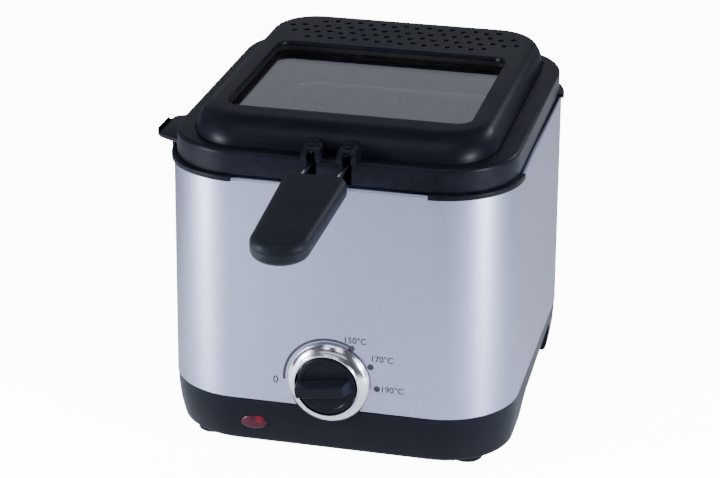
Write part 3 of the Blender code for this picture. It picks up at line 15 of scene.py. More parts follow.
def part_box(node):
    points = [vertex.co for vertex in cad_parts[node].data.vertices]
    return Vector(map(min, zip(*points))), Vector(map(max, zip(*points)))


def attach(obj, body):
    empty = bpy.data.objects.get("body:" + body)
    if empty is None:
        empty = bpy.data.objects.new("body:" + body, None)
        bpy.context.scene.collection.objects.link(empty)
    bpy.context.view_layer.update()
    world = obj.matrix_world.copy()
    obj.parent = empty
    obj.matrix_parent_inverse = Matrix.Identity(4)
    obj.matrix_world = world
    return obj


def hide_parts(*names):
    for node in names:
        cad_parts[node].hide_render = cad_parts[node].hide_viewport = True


bl_info = {
    "name": "Deep Fryer Looks",
    "version": (1, 0, 0),
    "blender": (4, 5, 0),
    "location": "3D View > Sidebar > Fryer",
    "description": "Models the pieces and finishes of a compact deep fryer on its packed parts",
    "category": "Object",
}

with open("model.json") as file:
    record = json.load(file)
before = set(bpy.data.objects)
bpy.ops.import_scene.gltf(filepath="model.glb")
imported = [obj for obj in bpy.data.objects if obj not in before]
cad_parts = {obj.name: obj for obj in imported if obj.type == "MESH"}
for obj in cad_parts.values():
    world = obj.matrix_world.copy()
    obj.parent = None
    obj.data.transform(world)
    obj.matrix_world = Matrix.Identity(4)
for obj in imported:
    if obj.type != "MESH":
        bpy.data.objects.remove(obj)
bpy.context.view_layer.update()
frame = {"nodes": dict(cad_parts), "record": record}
mm = 0.001
UP = Vector((0, 0, 1))
FRONT = Vector((0, -1, 0))
REAR = Vector((0, 1, 0))


def box_of(node):
    low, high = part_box(node)
    return Vector(low), Vector(high)


CASING_LOW, CASING_HIGH = box_of("steel_casing")
MIDDLE = (CASING_LOW + CASING_HIGH) / 2
COLLAR_LOW, COLLAR_HIGH = box_of("rim_collar")
LID_LOW, LID_HIGH = box_of("lid_shell")
LENS_LOW, LENS_HIGH = box_of("pilot_lens")
BEZEL_LOW, BEZEL_HIGH = box_of("dial_bezel")
KNOB_LOW, KNOB_HIGH = box_of("control_knob")
GLASS_LOW, GLASS_HIGH = box_of("window_glass")
POT_LOW, POT_HIGH = box_of("oil_pot")
BASKET_LOW, BASKET_HIGH = box_of("basket_mesh")
DIAL = (BEZEL_LOW + BEZEL_HIGH) / 2
LENS = (LENS_LOW + LENS_HIGH) / 2

# Sizes of the body that the boxes don't give
HALF_WIDTH = 100.0 * mm
HALF_DEPTH = 113.9 * mm
CORNER = 44.4 * mm
FLARE = 1.8 * mm
LEAN = 2.3 * mm
BEAD = 0.5 * mm
STEEL = 0.8 * mm
CASING_BOTTOM = CASING_LOW.z
RIM = CASING_HIGH.z
BASE_BOTTOM = box_of("base_tray")[0].z
SKIRT_BOTTOM = LID_LOW.z
LID_TOP = LID_HIGH.z
DOME_HEIGHT = 14.0 * mm
LEDGE = LID_TOP - DOME_HEIGHT
SKIRT_INSET = 1.5 * mm
LID_WALL = 2.4 * mm
DOME_FOOT = (86.5 * mm, -105.0 * mm, 109.9 * mm)
GROOVE = 0.9 * mm
WINDOW = (70.2 * mm, -75.5 * mm, 45.6 * mm)
WIRES = (-10.0 * mm, 10.0 * mm)
WIRE_RADIUS = 1.5 * mm
SLOT_RADIUS = 2.5 * mm
SLOT_TOP = 190.3 * mm
GRIP_TILT = math.radians(4.0)
POINTER_DROP = math.radians(8.0)


def at(x, y, z):
    """A point given from the casing's middle, in the frame's own axes."""
    return Vector((MIDDLE.x + x, MIDDLE.y + y, z))


def casing_front(z):
    """Distance from the middle back to the casing's front face at a height, as a negative number."""
    share = (z - CASING_BOTTOM) / (RIM - CASING_BOTTOM)
    return -(HALF_DEPTH - LEAN * (1 - share))


# Settings


def colour_setting(name, description, default):
    return FloatVectorProperty(
        name=name, description=description, default=default, subtype="COLOR", size=3, min=0.0, max=1.0
    )


def length_setting(name, description, default, low, high):
    return FloatProperty(
        name=name, description=description, default=default, min=low, max=high,
        unit="LENGTH", subtype="DISTANCE",
    )


class FryerSettings(bpy.types.PropertyGroup):
    """Sizes and colours of the fryer's looks."""

    steel_colour: colour_setting("Steel", "Colour of the brushed casing", (0.42, 0.44, 0.58))
    plastic_colour: colour_setting("Lid and base", "Colour of the lid and base", (0.005, 0.0058, 0.0095))
    grip_colour: colour_setting("Grip", "Colour of the handle's grip", (0.0115, 0.0135, 0.018))
    lens_colour: colour_setting("Pilot lens", "Colour of the pilot lens", (0.045, 0.006, 0.014))
    glass_colour: colour_setting("Window", "Tint of the window glass", (0.62, 0.65, 0.68))
    floor_colour: colour_setting("Floor", "Colour of the floor", (0.93, 0.93, 0.93))
    corner_steps: IntProperty(
        name="Corner steps", description="Flats in each rounded corner of the body",
        default=16, min=4, max=48,
    )
    lettering: length_setting("Numbers", "Height of the dial's numbers", 5.2 * mm, 2 * mm, 12 * mm)
    weave: length_setting("Weave", "Distance between the basket's wires", 6.4 * mm, 4 * mm, 14 * mm)
    light: FloatProperty(
        name="Light", description="Power of the main soft light", default=16.0, min=0.0,
        subtype="POWER", unit="POWER",
    )


def settings():
    return bpy.context.scene.fryer


# Shaping


def begin():
    """Leaves nothing selected, ready for a new primitive."""
    if bpy.context.object and bpy.context.object.mode != "OBJECT":
        bpy.ops.object.mode_set(mode="OBJECT")
    bpy.ops.object.select_all(action="DESELECT")


def only(piece):
    """Selects one object alone."""
    begin()
    piece.select_set(True)
    bpy.context.view_layer.objects.active = piece


def named(name):
    """The object that has just been added, under its own name."""
    piece = bpy.context.object
    piece.name = name
    return piece


def edit(piece, kind="FACE"):
    """Edits a piece, with what was selected in it."""
    only(piece)
    bpy.ops.object.mode_set(mode="EDIT")
    bpy.ops.mesh.select_mode(type=kind)


def edit_all(piece, kind="FACE"):
    """Edits a piece, with all of it selected."""
    edit(piece, kind)
    bpy.ops.mesh.select_all(action="SELECT")


def unpicked(piece):
    """The piece's mesh with nothing selected in it."""
    only(piece)
    mesh = piece.data
    for item in (*mesh.vertices, *mesh.edges, *mesh.polygons):
        item.select = False
    return mesh


def pick_faces(piece, test):
    """Edits a piece, with the faces selected whose middle and normal pass a test."""
    for face in unpicked(piece).polygons:
        face.select = test(face.center, face.normal)
    edit(piece, "FACE")


def pick_edges(piece, test):
    """Edits a piece, with the edges selected whose two ends pass a test."""
    mesh = unpicked(piece)
    for edge in mesh.edges:
        edge.select = test(*(mesh.vertices[i].co for i in edge.vertices))
    edit(piece, "EDGE")


def pick_points(piece, test):
    """Edits a piece, with the points selected that pass a test."""
    for point in unpicked(piece).vertices:
        point.select = test(point.co)
    edit(piece, "VERT")


def push(offset):
    bpy.ops.mesh.extrude_region_move(TRANSFORM_OT_translate={"value": tuple(offset)})


def draw_to(offset):
    """Draws an edge from each selected point."""
    bpy.ops.mesh.extrude_vertices_move(TRANSFORM_OT_translate={"value": tuple(offset)})


def quarter(steps):
    """A quarter round in steps, as the shares that it has come in and gone up."""
    for i in range(1, steps + 1):
        angle = math.radians(90 * i / steps)
        yield 1 - math.cos(angle), math.sin(angle)


def rectangle(name, width, depth, middle):
    """A level rectangle, in edit mode."""
    begin()
    bpy.ops.mesh.primitive_plane_add(size=1.0)
    piece = named(name)
    edit_all(piece, "VERT")
    bpy.ops.transform.resize(value=(width, depth, 1), center_override=(0, 0, 0))
    bpy.ops.transform.translate(value=middle)
    return piece


def first_point(name, place):
    """A piece of one point, in edit mode."""
    begin()
    bpy.ops.mesh.primitive_plane_add(size=0.001)
    piece = named(name)
    edit_all(piece, "VERT")
    bpy.ops.mesh.merge(type="CENTER")
    bpy.ops.transform.translate(value=place)
    return piece


class Slab:
    """A level outline with round corners, pushed up or down and drawn in or out, ring by ring."""

    def __init__(self, name, half_width, front, rear, corner, level, steps=None):
        self.half_width, self.front, self.rear, self.level = half_width, front, rear, level
        self.piece = rectangle(name, 2 * half_width, rear - front, at(0, (front + rear) / 2, level))
        steps = steps or settings().corner_steps
        bpy.ops.mesh.bevel(offset=corner, offset_type="OFFSET", segments=steps, affect="VERTICES")
        bpy.ops.mesh.select_mode(type="FACE")
        bpy.ops.mesh.select_all(action="SELECT")

    def step(self, half_width, front, rear, level):
        """The next ring, at its own half-width, front, rear and level."""
        drawn = self.half_width - half_width
        rise = level - self.level
        if drawn > 1e-7:
            bpy.ops.mesh.inset(thickness=drawn, depth=rise)
            self.half_width, self.front, self.rear = half_width, self.front + drawn, self.rear - drawn
        else:
            push((0, 0, rise))
        grow = (half_width / self.half_width, (rear - front) / (self.rear - self.front), 1)
        middle = at(0, (self.front + self.rear) / 2, level)
        if max(abs(share - 1) for share in grow) > 1e-7:
            bpy.ops.transform.resize(value=grow, center_override=middle)
        slide = (front + rear - self.front - self.rear) / 2
        if abs(slide) > 1e-8:
            bpy.ops.transform.translate(value=(0, slide, 0))
        self.half_width, self.front, self.rear, self.level = half_width, front, rear, level

    def fit(self, inset, level):
        """The next ring, on the casing's outline drawn in by an inset."""
        self.step(HALF_WIDTH - inset, -(HALF_DEPTH - inset), HALF_DEPTH - inset, level)

    def draw(self, *rings):
        """The next rings, each drawn in evenly by an inset from the one before."""
        for inset, level in rings:
            self.step(self.half_width - inset, self.front + inset, self.rear - inset, level)

    def arc(self, inset, rise, steps=6):
        """A quarter round: drawn in by an inset while it rises."""
        wide, front, rear, level = self.half_width, self.front, self.rear, self.level
        for share, climb in quarter(steps):
            inward = inset * share
            self.step(wide - inward, front + inward, rear - inward, level + rise * climb)


def body_slab(name, inset, level, steps=None):
    """A slab on the casing's outline drawn in by an inset."""
    wide, deep = HALF_WIDTH - inset, HALF_DEPTH - inset
    return Slab(name, wide, -deep, deep, CORNER - inset, level, steps)


class Turned:
    """A round outline pushed along its axis and drawn in or out, ring by ring."""

    def __init__(self, name, centre, axis, radius, sides=64, squash=1.0):
        begin()
        turn = UP.rotation_difference(axis).to_euler()
        bpy.ops.mesh.primitive_circle_add(
            vertices=sides, radius=radius, fill_type="NGON", location=centre, rotation=turn
        )
        self.piece = named(name)
        bpy.ops.object.transform_apply()
        self.centre, self.axis, self.radius, self.along = Vector(centre), Vector(axis), radius, 0.0
        edit_all(self.piece)
        if squash != 1.0:
            bpy.ops.transform.resize(value=(1, 1, squash), center_override=self.centre)

    def step(self, radius, along):
        """The next ring, at a radius and a distance along the axis from the start."""
        push(self.axis * (along - self.along))
        self.along = along
        if abs(radius - self.radius) > 1e-8:
            share = radius / self.radius
            bpy.ops.transform.resize(value=(share,) * 3, center_override=self.centre + self.axis * along)
            self.radius = radius

    def follow(self, *rings):
        """The next rings, each a radius and a distance along the axis in millimetres."""
        for radius, along in rings:
            self.step(radius * mm, along * mm)


def rod(name, centre, axis, radius, length, sides=32, squash=1.0):
    """A plain round or oval bar."""
    shape = Turned(name, centre, axis, radius, sides, squash)
    shape.step(radius, length)
    only(shape.piece)
    return shape.piece


def hollow(shape):
    """Joins the last face's edge to the first face's, so that the piece is a ring right through."""
    piece = shape.piece
    mesh = unpicked(piece)
    count = max(len(face.vertices) for face in mesh.polygons)
    for face in mesh.polygons:
        face.select = len(face.vertices) == count
    edit(piece)
    bpy.ops.mesh.delete(type="ONLY_FACE")
    bpy.ops.mesh.select_mode(type="EDGE")
    bpy.ops.mesh.select_non_manifold(extend=False, use_wire=True, use_boundary=True)
    bpy.ops.mesh.bridge_edge_loops()
    tidy(piece)
    return piece


def block(name, low, high, bevel=0.0, segments=3):
    """A block between two corners, with all its edges rounded."""
    begin()
    low, high = Vector(low), Vector(high)
    bpy.ops.mesh.primitive_cube_add(size=1.0, location=(low + high) / 2, scale=high - low)
    piece = named(name)
    bpy.ops.object.transform_apply()
    if bevel:
        edit_all(piece)
        bpy.ops.mesh.bevel(offset=bevel, segments=segments, affect="EDGES")
        only(piece)
    return piece


def bent_wire(name, points, radius, bend, bends, sides):
    """A round wire along straight runs with rounded bends."""
    piece = first_point(name, points[0])
    for before, after in zip(points, points[1:]):
        draw_to(after - before)
    inner = points[1:-1]
    pick_points(piece, lambda place: any((place - point).length < 1e-5 for point in inner))
    bpy.ops.mesh.bevel(offset=bend, segments=bends, affect="VERTICES")
    return as_wire(piece, radius, sides)


def as_wire(piece, radius, sides):
    """Turns a piece's edges into a round wire."""
    only(piece)
    bpy.ops.object.convert(target="CURVE")
    curve = bpy.context.object
    curve.data.bevel_depth = radius
    curve.data.bevel_resolution = sides
    curve.data.use_fill_caps = True
    bpy.ops.object.convert(target="MESH")
    return bpy.context.object


def use(piece, kind, **values):
    """Adds a modifier with its values and applies it."""
    only(piece)
    change = piece.modifiers.new(kind.title(), kind)
    for name, value in values.items():
        setattr(change, name, value)
    bpy.ops.object.modifier_apply(modifier=change.name)


def carve(piece, tool, operation="DIFFERENCE", solver="EXACT"):
    """Cuts a tool from a piece, or joins it, and removes the tool."""
    tidy(tool)
    use(piece, "BOOLEAN", operation=operation, object=tool, solver=solver)
    if len(piece.data.polygons) < 8:
        raise RuntimeError(f"nothing is left of {piece.name}")
    bpy.data.objects.remove(tool, do_unlink=True)


def tidy(piece):
    """Closes seams and points every face outwards."""
    edit_all(piece, "VERT")
    bpy.ops.mesh.remove_doubles(threshold=1e-6)
    bpy.ops.mesh.normals_make_consistent(inside=False)
    only(piece)


def as_one(pieces, name):
    """Several pieces as one object."""
    begin()
    for piece in pieces:
        piece.select_set(True)
    bpy.context.view_layer.objects.active = pieces[0]
    if len(pieces) > 1:
        bpy.ops.object.join()
    return named(name)


def copy_of(piece, name, offset):
    """A copy with its own mesh, moved by an offset."""
    only(piece)
    bpy.ops.object.duplicate(linked=False)
    twin = named(name)
    bpy.ops.transform.translate(value=tuple(offset))
    bpy.ops.object.transform_apply()
    return twin


def finish_piece(piece, finish, body, nodes=(), angle=35, name=None):
    """Gives a modelled piece its shading, finish, body and the parts that it stands for."""
    only(piece)
    bpy.ops.object.transform_apply()
    bpy.ops.object.shade_smooth_by_angle(angle=math.radians(angle))
    piece.data.materials.clear()
    piece.data.materials.append(finish)
    if name:
        piece.name = name
    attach(piece, body)
    if nodes:
        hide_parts(*nodes)
    return piece


# Finishes


class Graph:
    """A material's or a group's nodes, added one by one and joined by name."""

    def __init__(self, tree):
        self.tree = tree

    def add(self, kind, **values):
        node = self.tree.nodes.new(kind)
        for name, value in values.items():
            if name.startswith("in_"):
                node.inputs[name[3:].replace("_", " ")].default_value = value
            else:
                setattr(node, name, value)
        return node

    def join(self, source, output, target, inlet):
        self.tree.links.new(source.outputs[output], target.inputs[inlet])


def new_group(name, inlets, outlets):
    tree = bpy.data.node_groups.new(name, "ShaderNodeTree")
    for label, kind, value in inlets:
        socket = tree.interface.new_socket(name=label, in_out="INPUT", socket_type=kind)
        socket.default_value = value
    for label, kind in outlets:
        tree.interface.new_socket(name=label, in_out="OUTPUT", socket_type=kind)
    graph = Graph(tree)
    return graph, graph.add("NodeGroupInput"), graph.add("NodeGroupOutput")


def stretched_noise(graph, coordinates, stretch, detail=3.0, roughness=0.55):
    mapping = graph.add("ShaderNodeMapping")
    mapping.inputs["Scale"].default_value = stretch
    noise = graph.add("ShaderNodeTexNoise", in_Scale=1.0, in_Detail=detail, in_Roughness=roughness)
    graph.join(coordinates, "Object", mapping, "Vector")
    graph.join(mapping, "Vector", noise, "Vector")
    return noise


def pattern(graph, noise, low, high):
    """A noise with its middle values spread from 0 to 1."""
    spread = graph.add("ShaderNodeMapRange", in_From_Min=low, in_From_Max=high)
    graph.join(noise, "Fac", spread, "Value")
    return spread


def placed_noise(graph, place, **values):
    noise = graph.add("ShaderNodeTexNoise", **values)
    graph.join(place, "Object", noise, "Vector")
    return noise


def make_grain_group():
    """Moulding grain: a fine height, and slow patches that change the gloss a little."""
    graph, inlet, outlet = new_group(
        "moulding grain",
        [("Fineness", "NodeSocketFloat", 900.0)],
        [("Height", "NodeSocketFloat"), ("Patches", "NodeSocketFloat")],
    )
    place = graph.add("ShaderNodeTexCoord")
    fine = placed_noise(graph, place, in_Detail=2.0, in_Roughness=0.5)
    graph.join(inlet, "Fineness", fine, "Scale")
    slow = placed_noise(graph, place, in_Scale=14.0, in_Detail=4.0, in_Roughness=0.6)
    graph.join(fine, "Fac", outlet, "Height")
    graph.join(pattern(graph, slow, 0.3, 0.7), "Result", outlet, "Patches")
    return graph.tree


def make_brushing_group():
    """Level brushing: fine scratches, broader streaks and slow clouds."""
    labels = ("Height", "Streaks", "Clouds")
    graph, _, outlet = new_group("level brushing", [], [(label, "NodeSocketFloat") for label in labels])
    place = graph.add("ShaderNodeTexCoord")
    fine = stretched_noise(graph, place, (26.0, 26.0, 5200.0), 3.0, 0.7)
    broad = stretched_noise(graph, place, (7.0, 7.0, 900.0), 3.0, 0.6)
    slow = stretched_noise(graph, place, (9.0, 9.0, 12.0), 2.0, 0.5)
    for noise, label in zip((fine, broad, slow), labels):
        graph.join(pattern(graph, noise, 0.25, 0.75), "Result", outlet, label)
    return graph.tree


def make_broken_group(name, amount, output, measure, bounds, patches, noise):
    """A group that gives where a measure of the shape is high, broken up by a noise."""
    graph, inlet, outlet = new_group(
        name, [("Amount", "NodeSocketFloat", amount)], [(output, "NodeSocketFloat")]
    )
    place = graph.add("ShaderNodeTexCoord")
    where = graph.add("ShaderNodeMapRange", in_From_Min=bounds[0], in_From_Max=bounds[1])
    source, label = measure(graph, graph.add("ShaderNodeNewGeometry"))
    graph.join(source, label, where, "Value")
    spread = pattern(graph, placed_noise(graph, place, **noise), *patches)
    both = graph.add("ShaderNodeMath", operation="MULTIPLY")
    graph.join(where, "Result", both, 0)
    graph.join(spread, "Result", both, 1)
    scaled = graph.add("ShaderNodeMath", operation="MULTIPLY")
    graph.join(both, 0, scaled, 0)
    graph.join(inlet, "Amount", scaled, 1)
    graph.join(scaled, 0, outlet, output)
    return graph.tree


def make_wear_group():
    """Edge wear: outer edges, broken up by a noise."""
    return make_broken_group(
        "edge wear", 0.5, "Wear", lambda graph, shape: (shape, "Pointiness"), (0.52, 0.62),
        (0.4, 0.65), {"in_Scale": 160.0, "in_Detail": 4.0},
    )


def upward(graph, shape):
    """How far a face looks up."""
    split = graph.add("ShaderNodeSeparateXYZ")
    graph.join(shape, "Normal", split, "Vector")
    return split, "Z"


def make_painted_sheen_group():
    """A painted sheen: a pale tint on faces that look up, in place of the light that falls on them from above.
    """
    return make_broken_group(
        "painted top sheen", 0.3, "Painted sheen", upward, (0.4, 1.0),
        (0.35, 0.75), {"in_Scale": 38.0, "in_Detail": 6.0, "in_Roughness": 0.7},
    )


GROUPS = {}


def group_node(graph, label, **values):
    if label not in GROUPS:
        makers = {
            "grain": make_grain_group,
            "brushing": make_brushing_group,
            "wear": make_wear_group,
            # Painted sheen on faces that look up:
            "painted_sheen": make_painted_sheen_group,
        }
        GROUPS[label] = makers[label]()
    node = graph.add("ShaderNodeGroup")
    node.node_tree = GROUPS[label]
    for name, value in values.items():
        node.inputs[name].default_value = value
    return node


def mixed(graph, first, second, mask, output):
    """Two colours mixed by a mask; a colour is four numbers or a node that ends in one."""
    node = graph.add("ShaderNodeMix", data_type="RGBA")
    for socket, colour in ((6, first), (7, second)):
        if hasattr(colour, "outputs"):
            graph.join(colour, 2, node, socket)
        else:
            node.inputs[socket].default_value = colour
    graph.join(mask, output, node, 0)
    return node


def ranged(graph, source, output, low, high):
    node = graph.add("ShaderNodeMapRange", in_To_Min=low, in_To_Max=high)
    graph.join(source, output, node, "Value")
    return node


def new_finish(name, metallic=0.0, **values):
    material = bpy.data.materials.new(name)
    material.use_nodes = True
    graph = Graph(material.node_tree)
    shader = material.node_tree.nodes["Principled BSDF"]
    for label, value in {"Metallic": metallic, **values}.items():
        shader.inputs[label.replace("_", " ")].default_value = value
    return material, graph, shader


def painted(graph, shader, tone, source, output, low, high):
    """Gives a shader its colour, and a roughness that follows a pattern."""
    graph.join(tone, 2, shader, "Base Color")
    graph.join(ranged(graph, source, output, low, high), "Result", shader, "Roughness")


def bumped(graph, source, output, shader, strength, distance):
    """Gives a shader a height that follows a pattern."""
    bump = graph.add("ShaderNodeBump", in_Strength=strength, in_Distance=distance)
    graph.join(source, output, bump, "Height")
    graph.join(bump, "Normal", shader, "Normal")


def shade(colour, factor):
    return tuple(min(1.0, value * factor) for value in colour) + (1.0,)


def moulded(name, colour, roughness, fineness, depth, wear=0.3, painted_sheen=0.1, sheen=0.1):
    """Moulded plastic: grain, slow patches in the gloss, paler worn edges and a painted sheen on faces that
    look up.
    """
    material, graph, shader = new_finish(name, IOR=1.45, Specular_IOR_Level=sheen)
    grain = group_node(graph, "grain", Fineness=fineness)
    edges = group_node(graph, "wear", Amount=wear)
    painted_sheen_mask = group_node(graph, "painted_sheen", Amount=painted_sheen)
    tone = mixed(graph, shade(colour, 0.86), shade(colour, 1.16), grain, "Patches")
    worn = mixed(graph, tone, shade(colour, 3.0), edges, "Wear")
    # Painted sheen: a pale bluish tint, like the studio light's, mixed in on faces that look up.
    with_painted_sheen = mixed(graph, worn, (0.04, 0.043, 0.05, 1.0), painted_sheen_mask, "Painted sheen")
    painted(graph, shader, with_painted_sheen, grain, "Patches", roughness - 0.035, roughness + 0.045)
    bumped(graph, grain, "Height", shader, 0.35, depth)
    return material


def metal(name, colour, roughness, fineness=400.0, depth=0.01 * mm, wear=0.0, spread=0.06):
    """Plain metal with slight marks in its gloss."""
    material, graph, shader = new_finish(name, metallic=1.0)
    grain = group_node(graph, "grain", Fineness=fineness)
    tone = mixed(graph, shade(colour, 0.93), shade(colour, 1.04), grain, "Patches")
    edges = group_node(graph, "wear", Amount=wear)
    worn = mixed(graph, tone, shade(colour, 1.2), edges, "Wear")
    painted(graph, shader, worn, grain, "Patches", max(0.02, roughness - spread / 2), roughness + spread / 2)
    bumped(graph, grain, "Height", shader, 0.15, depth)
    return material


def brushed_steel(colour):
    """Brushed sheet: level streaks and clouds, with brighter edges."""
    material, graph, shader = new_finish(
        "brushed casing steel", metallic=1.0, Anisotropic=0.75, Anisotropic_Rotation=0.25
    )
    brushing = group_node(graph, "brushing")
    tone = mixed(graph, shade(colour, 0.94), shade(colour, 1.05), brushing, "Streaks")
    cloudy = graph.add("ShaderNodeMix", data_type="RGBA", blend_type="MULTIPLY")
    cloudy.inputs[0].default_value = 0.5
    graph.join(tone, 2, cloudy, 6)
    clouds = mixed(graph, (0.93, 0.93, 0.95, 1.0), (1.0, 1.0, 1.0, 1.0), brushing, "Clouds")
    graph.join(clouds, 2, cloudy, 7)
    edges = group_node(graph, "wear", Amount=0.35)
    worn = mixed(graph, cloudy, shade(colour, 1.3), edges, "Wear")
    painted(graph, shader, worn, brushing, "Streaks", 0.33, 0.42)
    bumped(graph, brushing, "Height", shader, 0.22, 0.02 * mm)
    return material


def window_glass(colour):
    material, graph, shader = new_finish("window glass", Transmission_Weight=1.0, IOR=1.5, Coat_Weight=0.5)
    grain = group_node(graph, "grain", Fineness=25.0)
    tone = mixed(graph, shade(colour, 0.97), shade(colour, 1.02), grain, "Patches")
    painted(graph, shader, tone, grain, "Patches", 0.01, 0.05)
    return material


def pilot_red(colour):
    """Dull red moulded lens, lit in its upper right by the lamp behind it."""
    material, graph, shader = new_finish("pilot red", IOR=1.49, Specular_IOR_Level=0.2, Emission_Strength=0.8)
    grain = group_node(graph, "grain", Fineness=120.0)
    tone = mixed(graph, shade(colour, 0.6), shade(colour, 1.3), grain, "Patches")
    place = graph.add("ShaderNodeTexCoord")
    away = graph.add("ShaderNodeVectorMath", operation="DISTANCE")
    away.inputs[1].default_value = LENS + Vector((3.2 * mm, -1.0 * mm, 2.4 * mm))
    graph.join(place, "Object", away, 0)
    near = ranged(graph, away, "Value", 1.0, 0.0)
    near.inputs["From Min"].default_value = 0.4 * mm
    near.inputs["From Max"].default_value = 4.2 * mm
    glow = mixed(graph, (0.012, 0.001, 0.003, 1.0), (0.9, 0.02, 0.04, 1.0), near, "Result")
    graph.join(glow, 2, shader, "Emission Color")
    painted(graph, shader, tone, grain, "Patches", 0.25, 0.35)
    bumped(graph, grain, "Height", shader, 0.1, 0.02 * mm)
    return material


def felt(name, colour):
    """Pressed filter felt: crossed fibres."""
    material, graph, shader = new_finish(name, Sheen_Weight=0.3)
    place = graph.add("ShaderNodeTexCoord")
    fibres = stretched_noise(graph, place, (1400.0, 260.0, 500.0), 5.0, 0.75)
    tone = mixed(graph, shade(colour, 0.5), shade(colour, 1.5), fibres, "Fac")
    painted(graph, shader, tone, fibres, "Fac", 0.88, 1.0)
    bumped(graph, fibres, "Fac", shader, 0.8, 0.3 * mm)
    return material


def printed_ink():
    """Black screen printing, slightly thin in places."""
    material, graph, shader = new_finish("printed ink")
    grain = group_node(graph, "grain", Fineness=1500.0)
    tone = mixed(graph, (0.012, 0.012, 0.015, 1.0), (0.03, 0.03, 0.036, 1.0), grain, "Patches")
    painted(graph, shader, tone, grain, "Height", 0.5, 0.62)
    return material


def floor_finish(colour):
    material, graph, shader = new_finish("studio floor")
    grain = group_node(graph, "grain", Fineness=3.0)
    tone = mixed(graph, shade(colour, 0.995), shade(colour, 1.005), grain, "Patches")
    graph.join(tone, 2, shader, "Base Color")
    shader.inputs["Roughness"].default_value = 0.9
    seen = graph.add("ShaderNodeLightPath")
    glow = mixed(graph, (0.0, 0.0, 0.0, 1.0), (1.0, 1.0, 1.0, 1.0), seen, "Is Camera Ray")
    graph.join(glow, 2, shader, "Emission Color")
    shader.inputs["Emission Strength"].default_value = 12.0
    return material


FINISHES = {}


def finish(name):
    """One of the fryer's finishes, made when it is first asked for."""
    if name not in FINISHES:
        chosen = settings()
        plastic, grip = tuple(chosen.plastic_colour), tuple(chosen.grip_colour)
        # The last number given to moulded() is the amount of painted sheen on faces that look up.
        makers = {
            "steel": lambda: brushed_steel(tuple(chosen.steel_colour)),
            "plastic": lambda: moulded("moulded lid plastic", plastic, 0.36, 1500.0, 0.03 * mm),
            "grip": lambda: moulded("matt grip plastic", grip, 0.47, 1100.0, 0.06 * mm, painted_sheen=0.12),
            "knob": lambda: moulded("knob plastic", plastic, 0.3, 1500.0, 0.02 * mm, 0.5, 0.1),
            "rubber": lambda: moulded("foot rubber", (0.012, 0.012, 0.012), 0.78, 700.0, 0.08 * mm, 0.3, 0.3),
            "chrome": lambda: metal("dial chrome", (0.74, 0.74, 0.77), 0.17, 60.0, 0.002 * mm, spread=0.04),
            "wire": lambda: metal("plated wire", (0.74, 0.74, 0.75), 0.16, 220.0, 0.004 * mm),
            "weave": lambda: metal("basket weave", (0.62, 0.62, 0.63), 0.24, 220.0, 0.01 * mm),
            "pot": lambda: moulded("pot coating", (0.032, 0.032, 0.035), 0.38, 420.0, 0.05 * mm, 0.2, 0.1),
            "aluminium": lambda: metal("pressed aluminium", (0.66, 0.67, 0.69), 0.36, 300.0, 0.02 * mm),
            "brass": lambda: metal("turned brass", (0.66, 0.48, 0.2), 0.3, 300.0, 0.01 * mm),
            "insulation": lambda: moulded("pale moulding", (0.55, 0.53, 0.47), 0.6, 600.0, 0.03 * mm, 0.1, 0.0),
            "glass": lambda: window_glass(tuple(chosen.glass_colour)),
            "red": lambda: pilot_red(tuple(chosen.lens_colour)),
            "felt": lambda: felt("filter felt", (0.035, 0.035, 0.038)),
            "ink": printed_ink,
            "floor": lambda: floor_finish(tuple(chosen.floor_colour)),
        }
        FINISHES[name] = makers[name]()
    return FINISHES[name]


# Operators


class PieceOperator(bpy.types.Operator):
    """What the fryer's operators share."""

    bl_options = {"REGISTER", "UNDO"}


class FRYER_OT_casing(PieceOperator):
    """Model the brushed steel casing with its rolled upper bead"""

    bl_idname = "fryer.casing"
    bl_label = "Casing"

    def execute(self, context):
        low = RIM - 1.8 * mm
        wide, deep = HALF_WIDTH + FLARE, HALF_DEPTH - LEAN
        shape = Slab("casing", wide, -deep, deep, CORNER, CASING_BOTTOM, settings().corner_steps + 8)
        outer = [
            (0.0, low - BEAD), (BEAD * 0.6, low - BEAD * 0.7), (BEAD, low), (BEAD, RIM - 0.7 * mm),
            (BEAD * 0.75, RIM - 0.3 * mm), (BEAD * 0.3, RIM - 0.05 * mm), (-0.1 * mm, RIM),
            (-0.9 * mm, RIM), (-1.4 * mm, RIM - 0.2 * mm), (-1.6 * mm, RIM - 0.6 * mm),
            (-1.6 * mm, low), (-STEEL, low - BEAD),
        ]
        for out, level in outer:
            shape.fit(-out, level)
        shape.step(wide - STEEL, -deep + STEEL, deep - STEEL, CASING_BOTTOM)
        casing = hollow(shape)
        carve(casing, rod("hole", at(0, casing_front(DIAL.z) - 4 * mm, DIAL.z), REAR, 5 * mm, 8 * mm))
        finish_piece(casing, finish("steel"), "body", ["steel_casing"], 25)
        return {"FINISHED"}


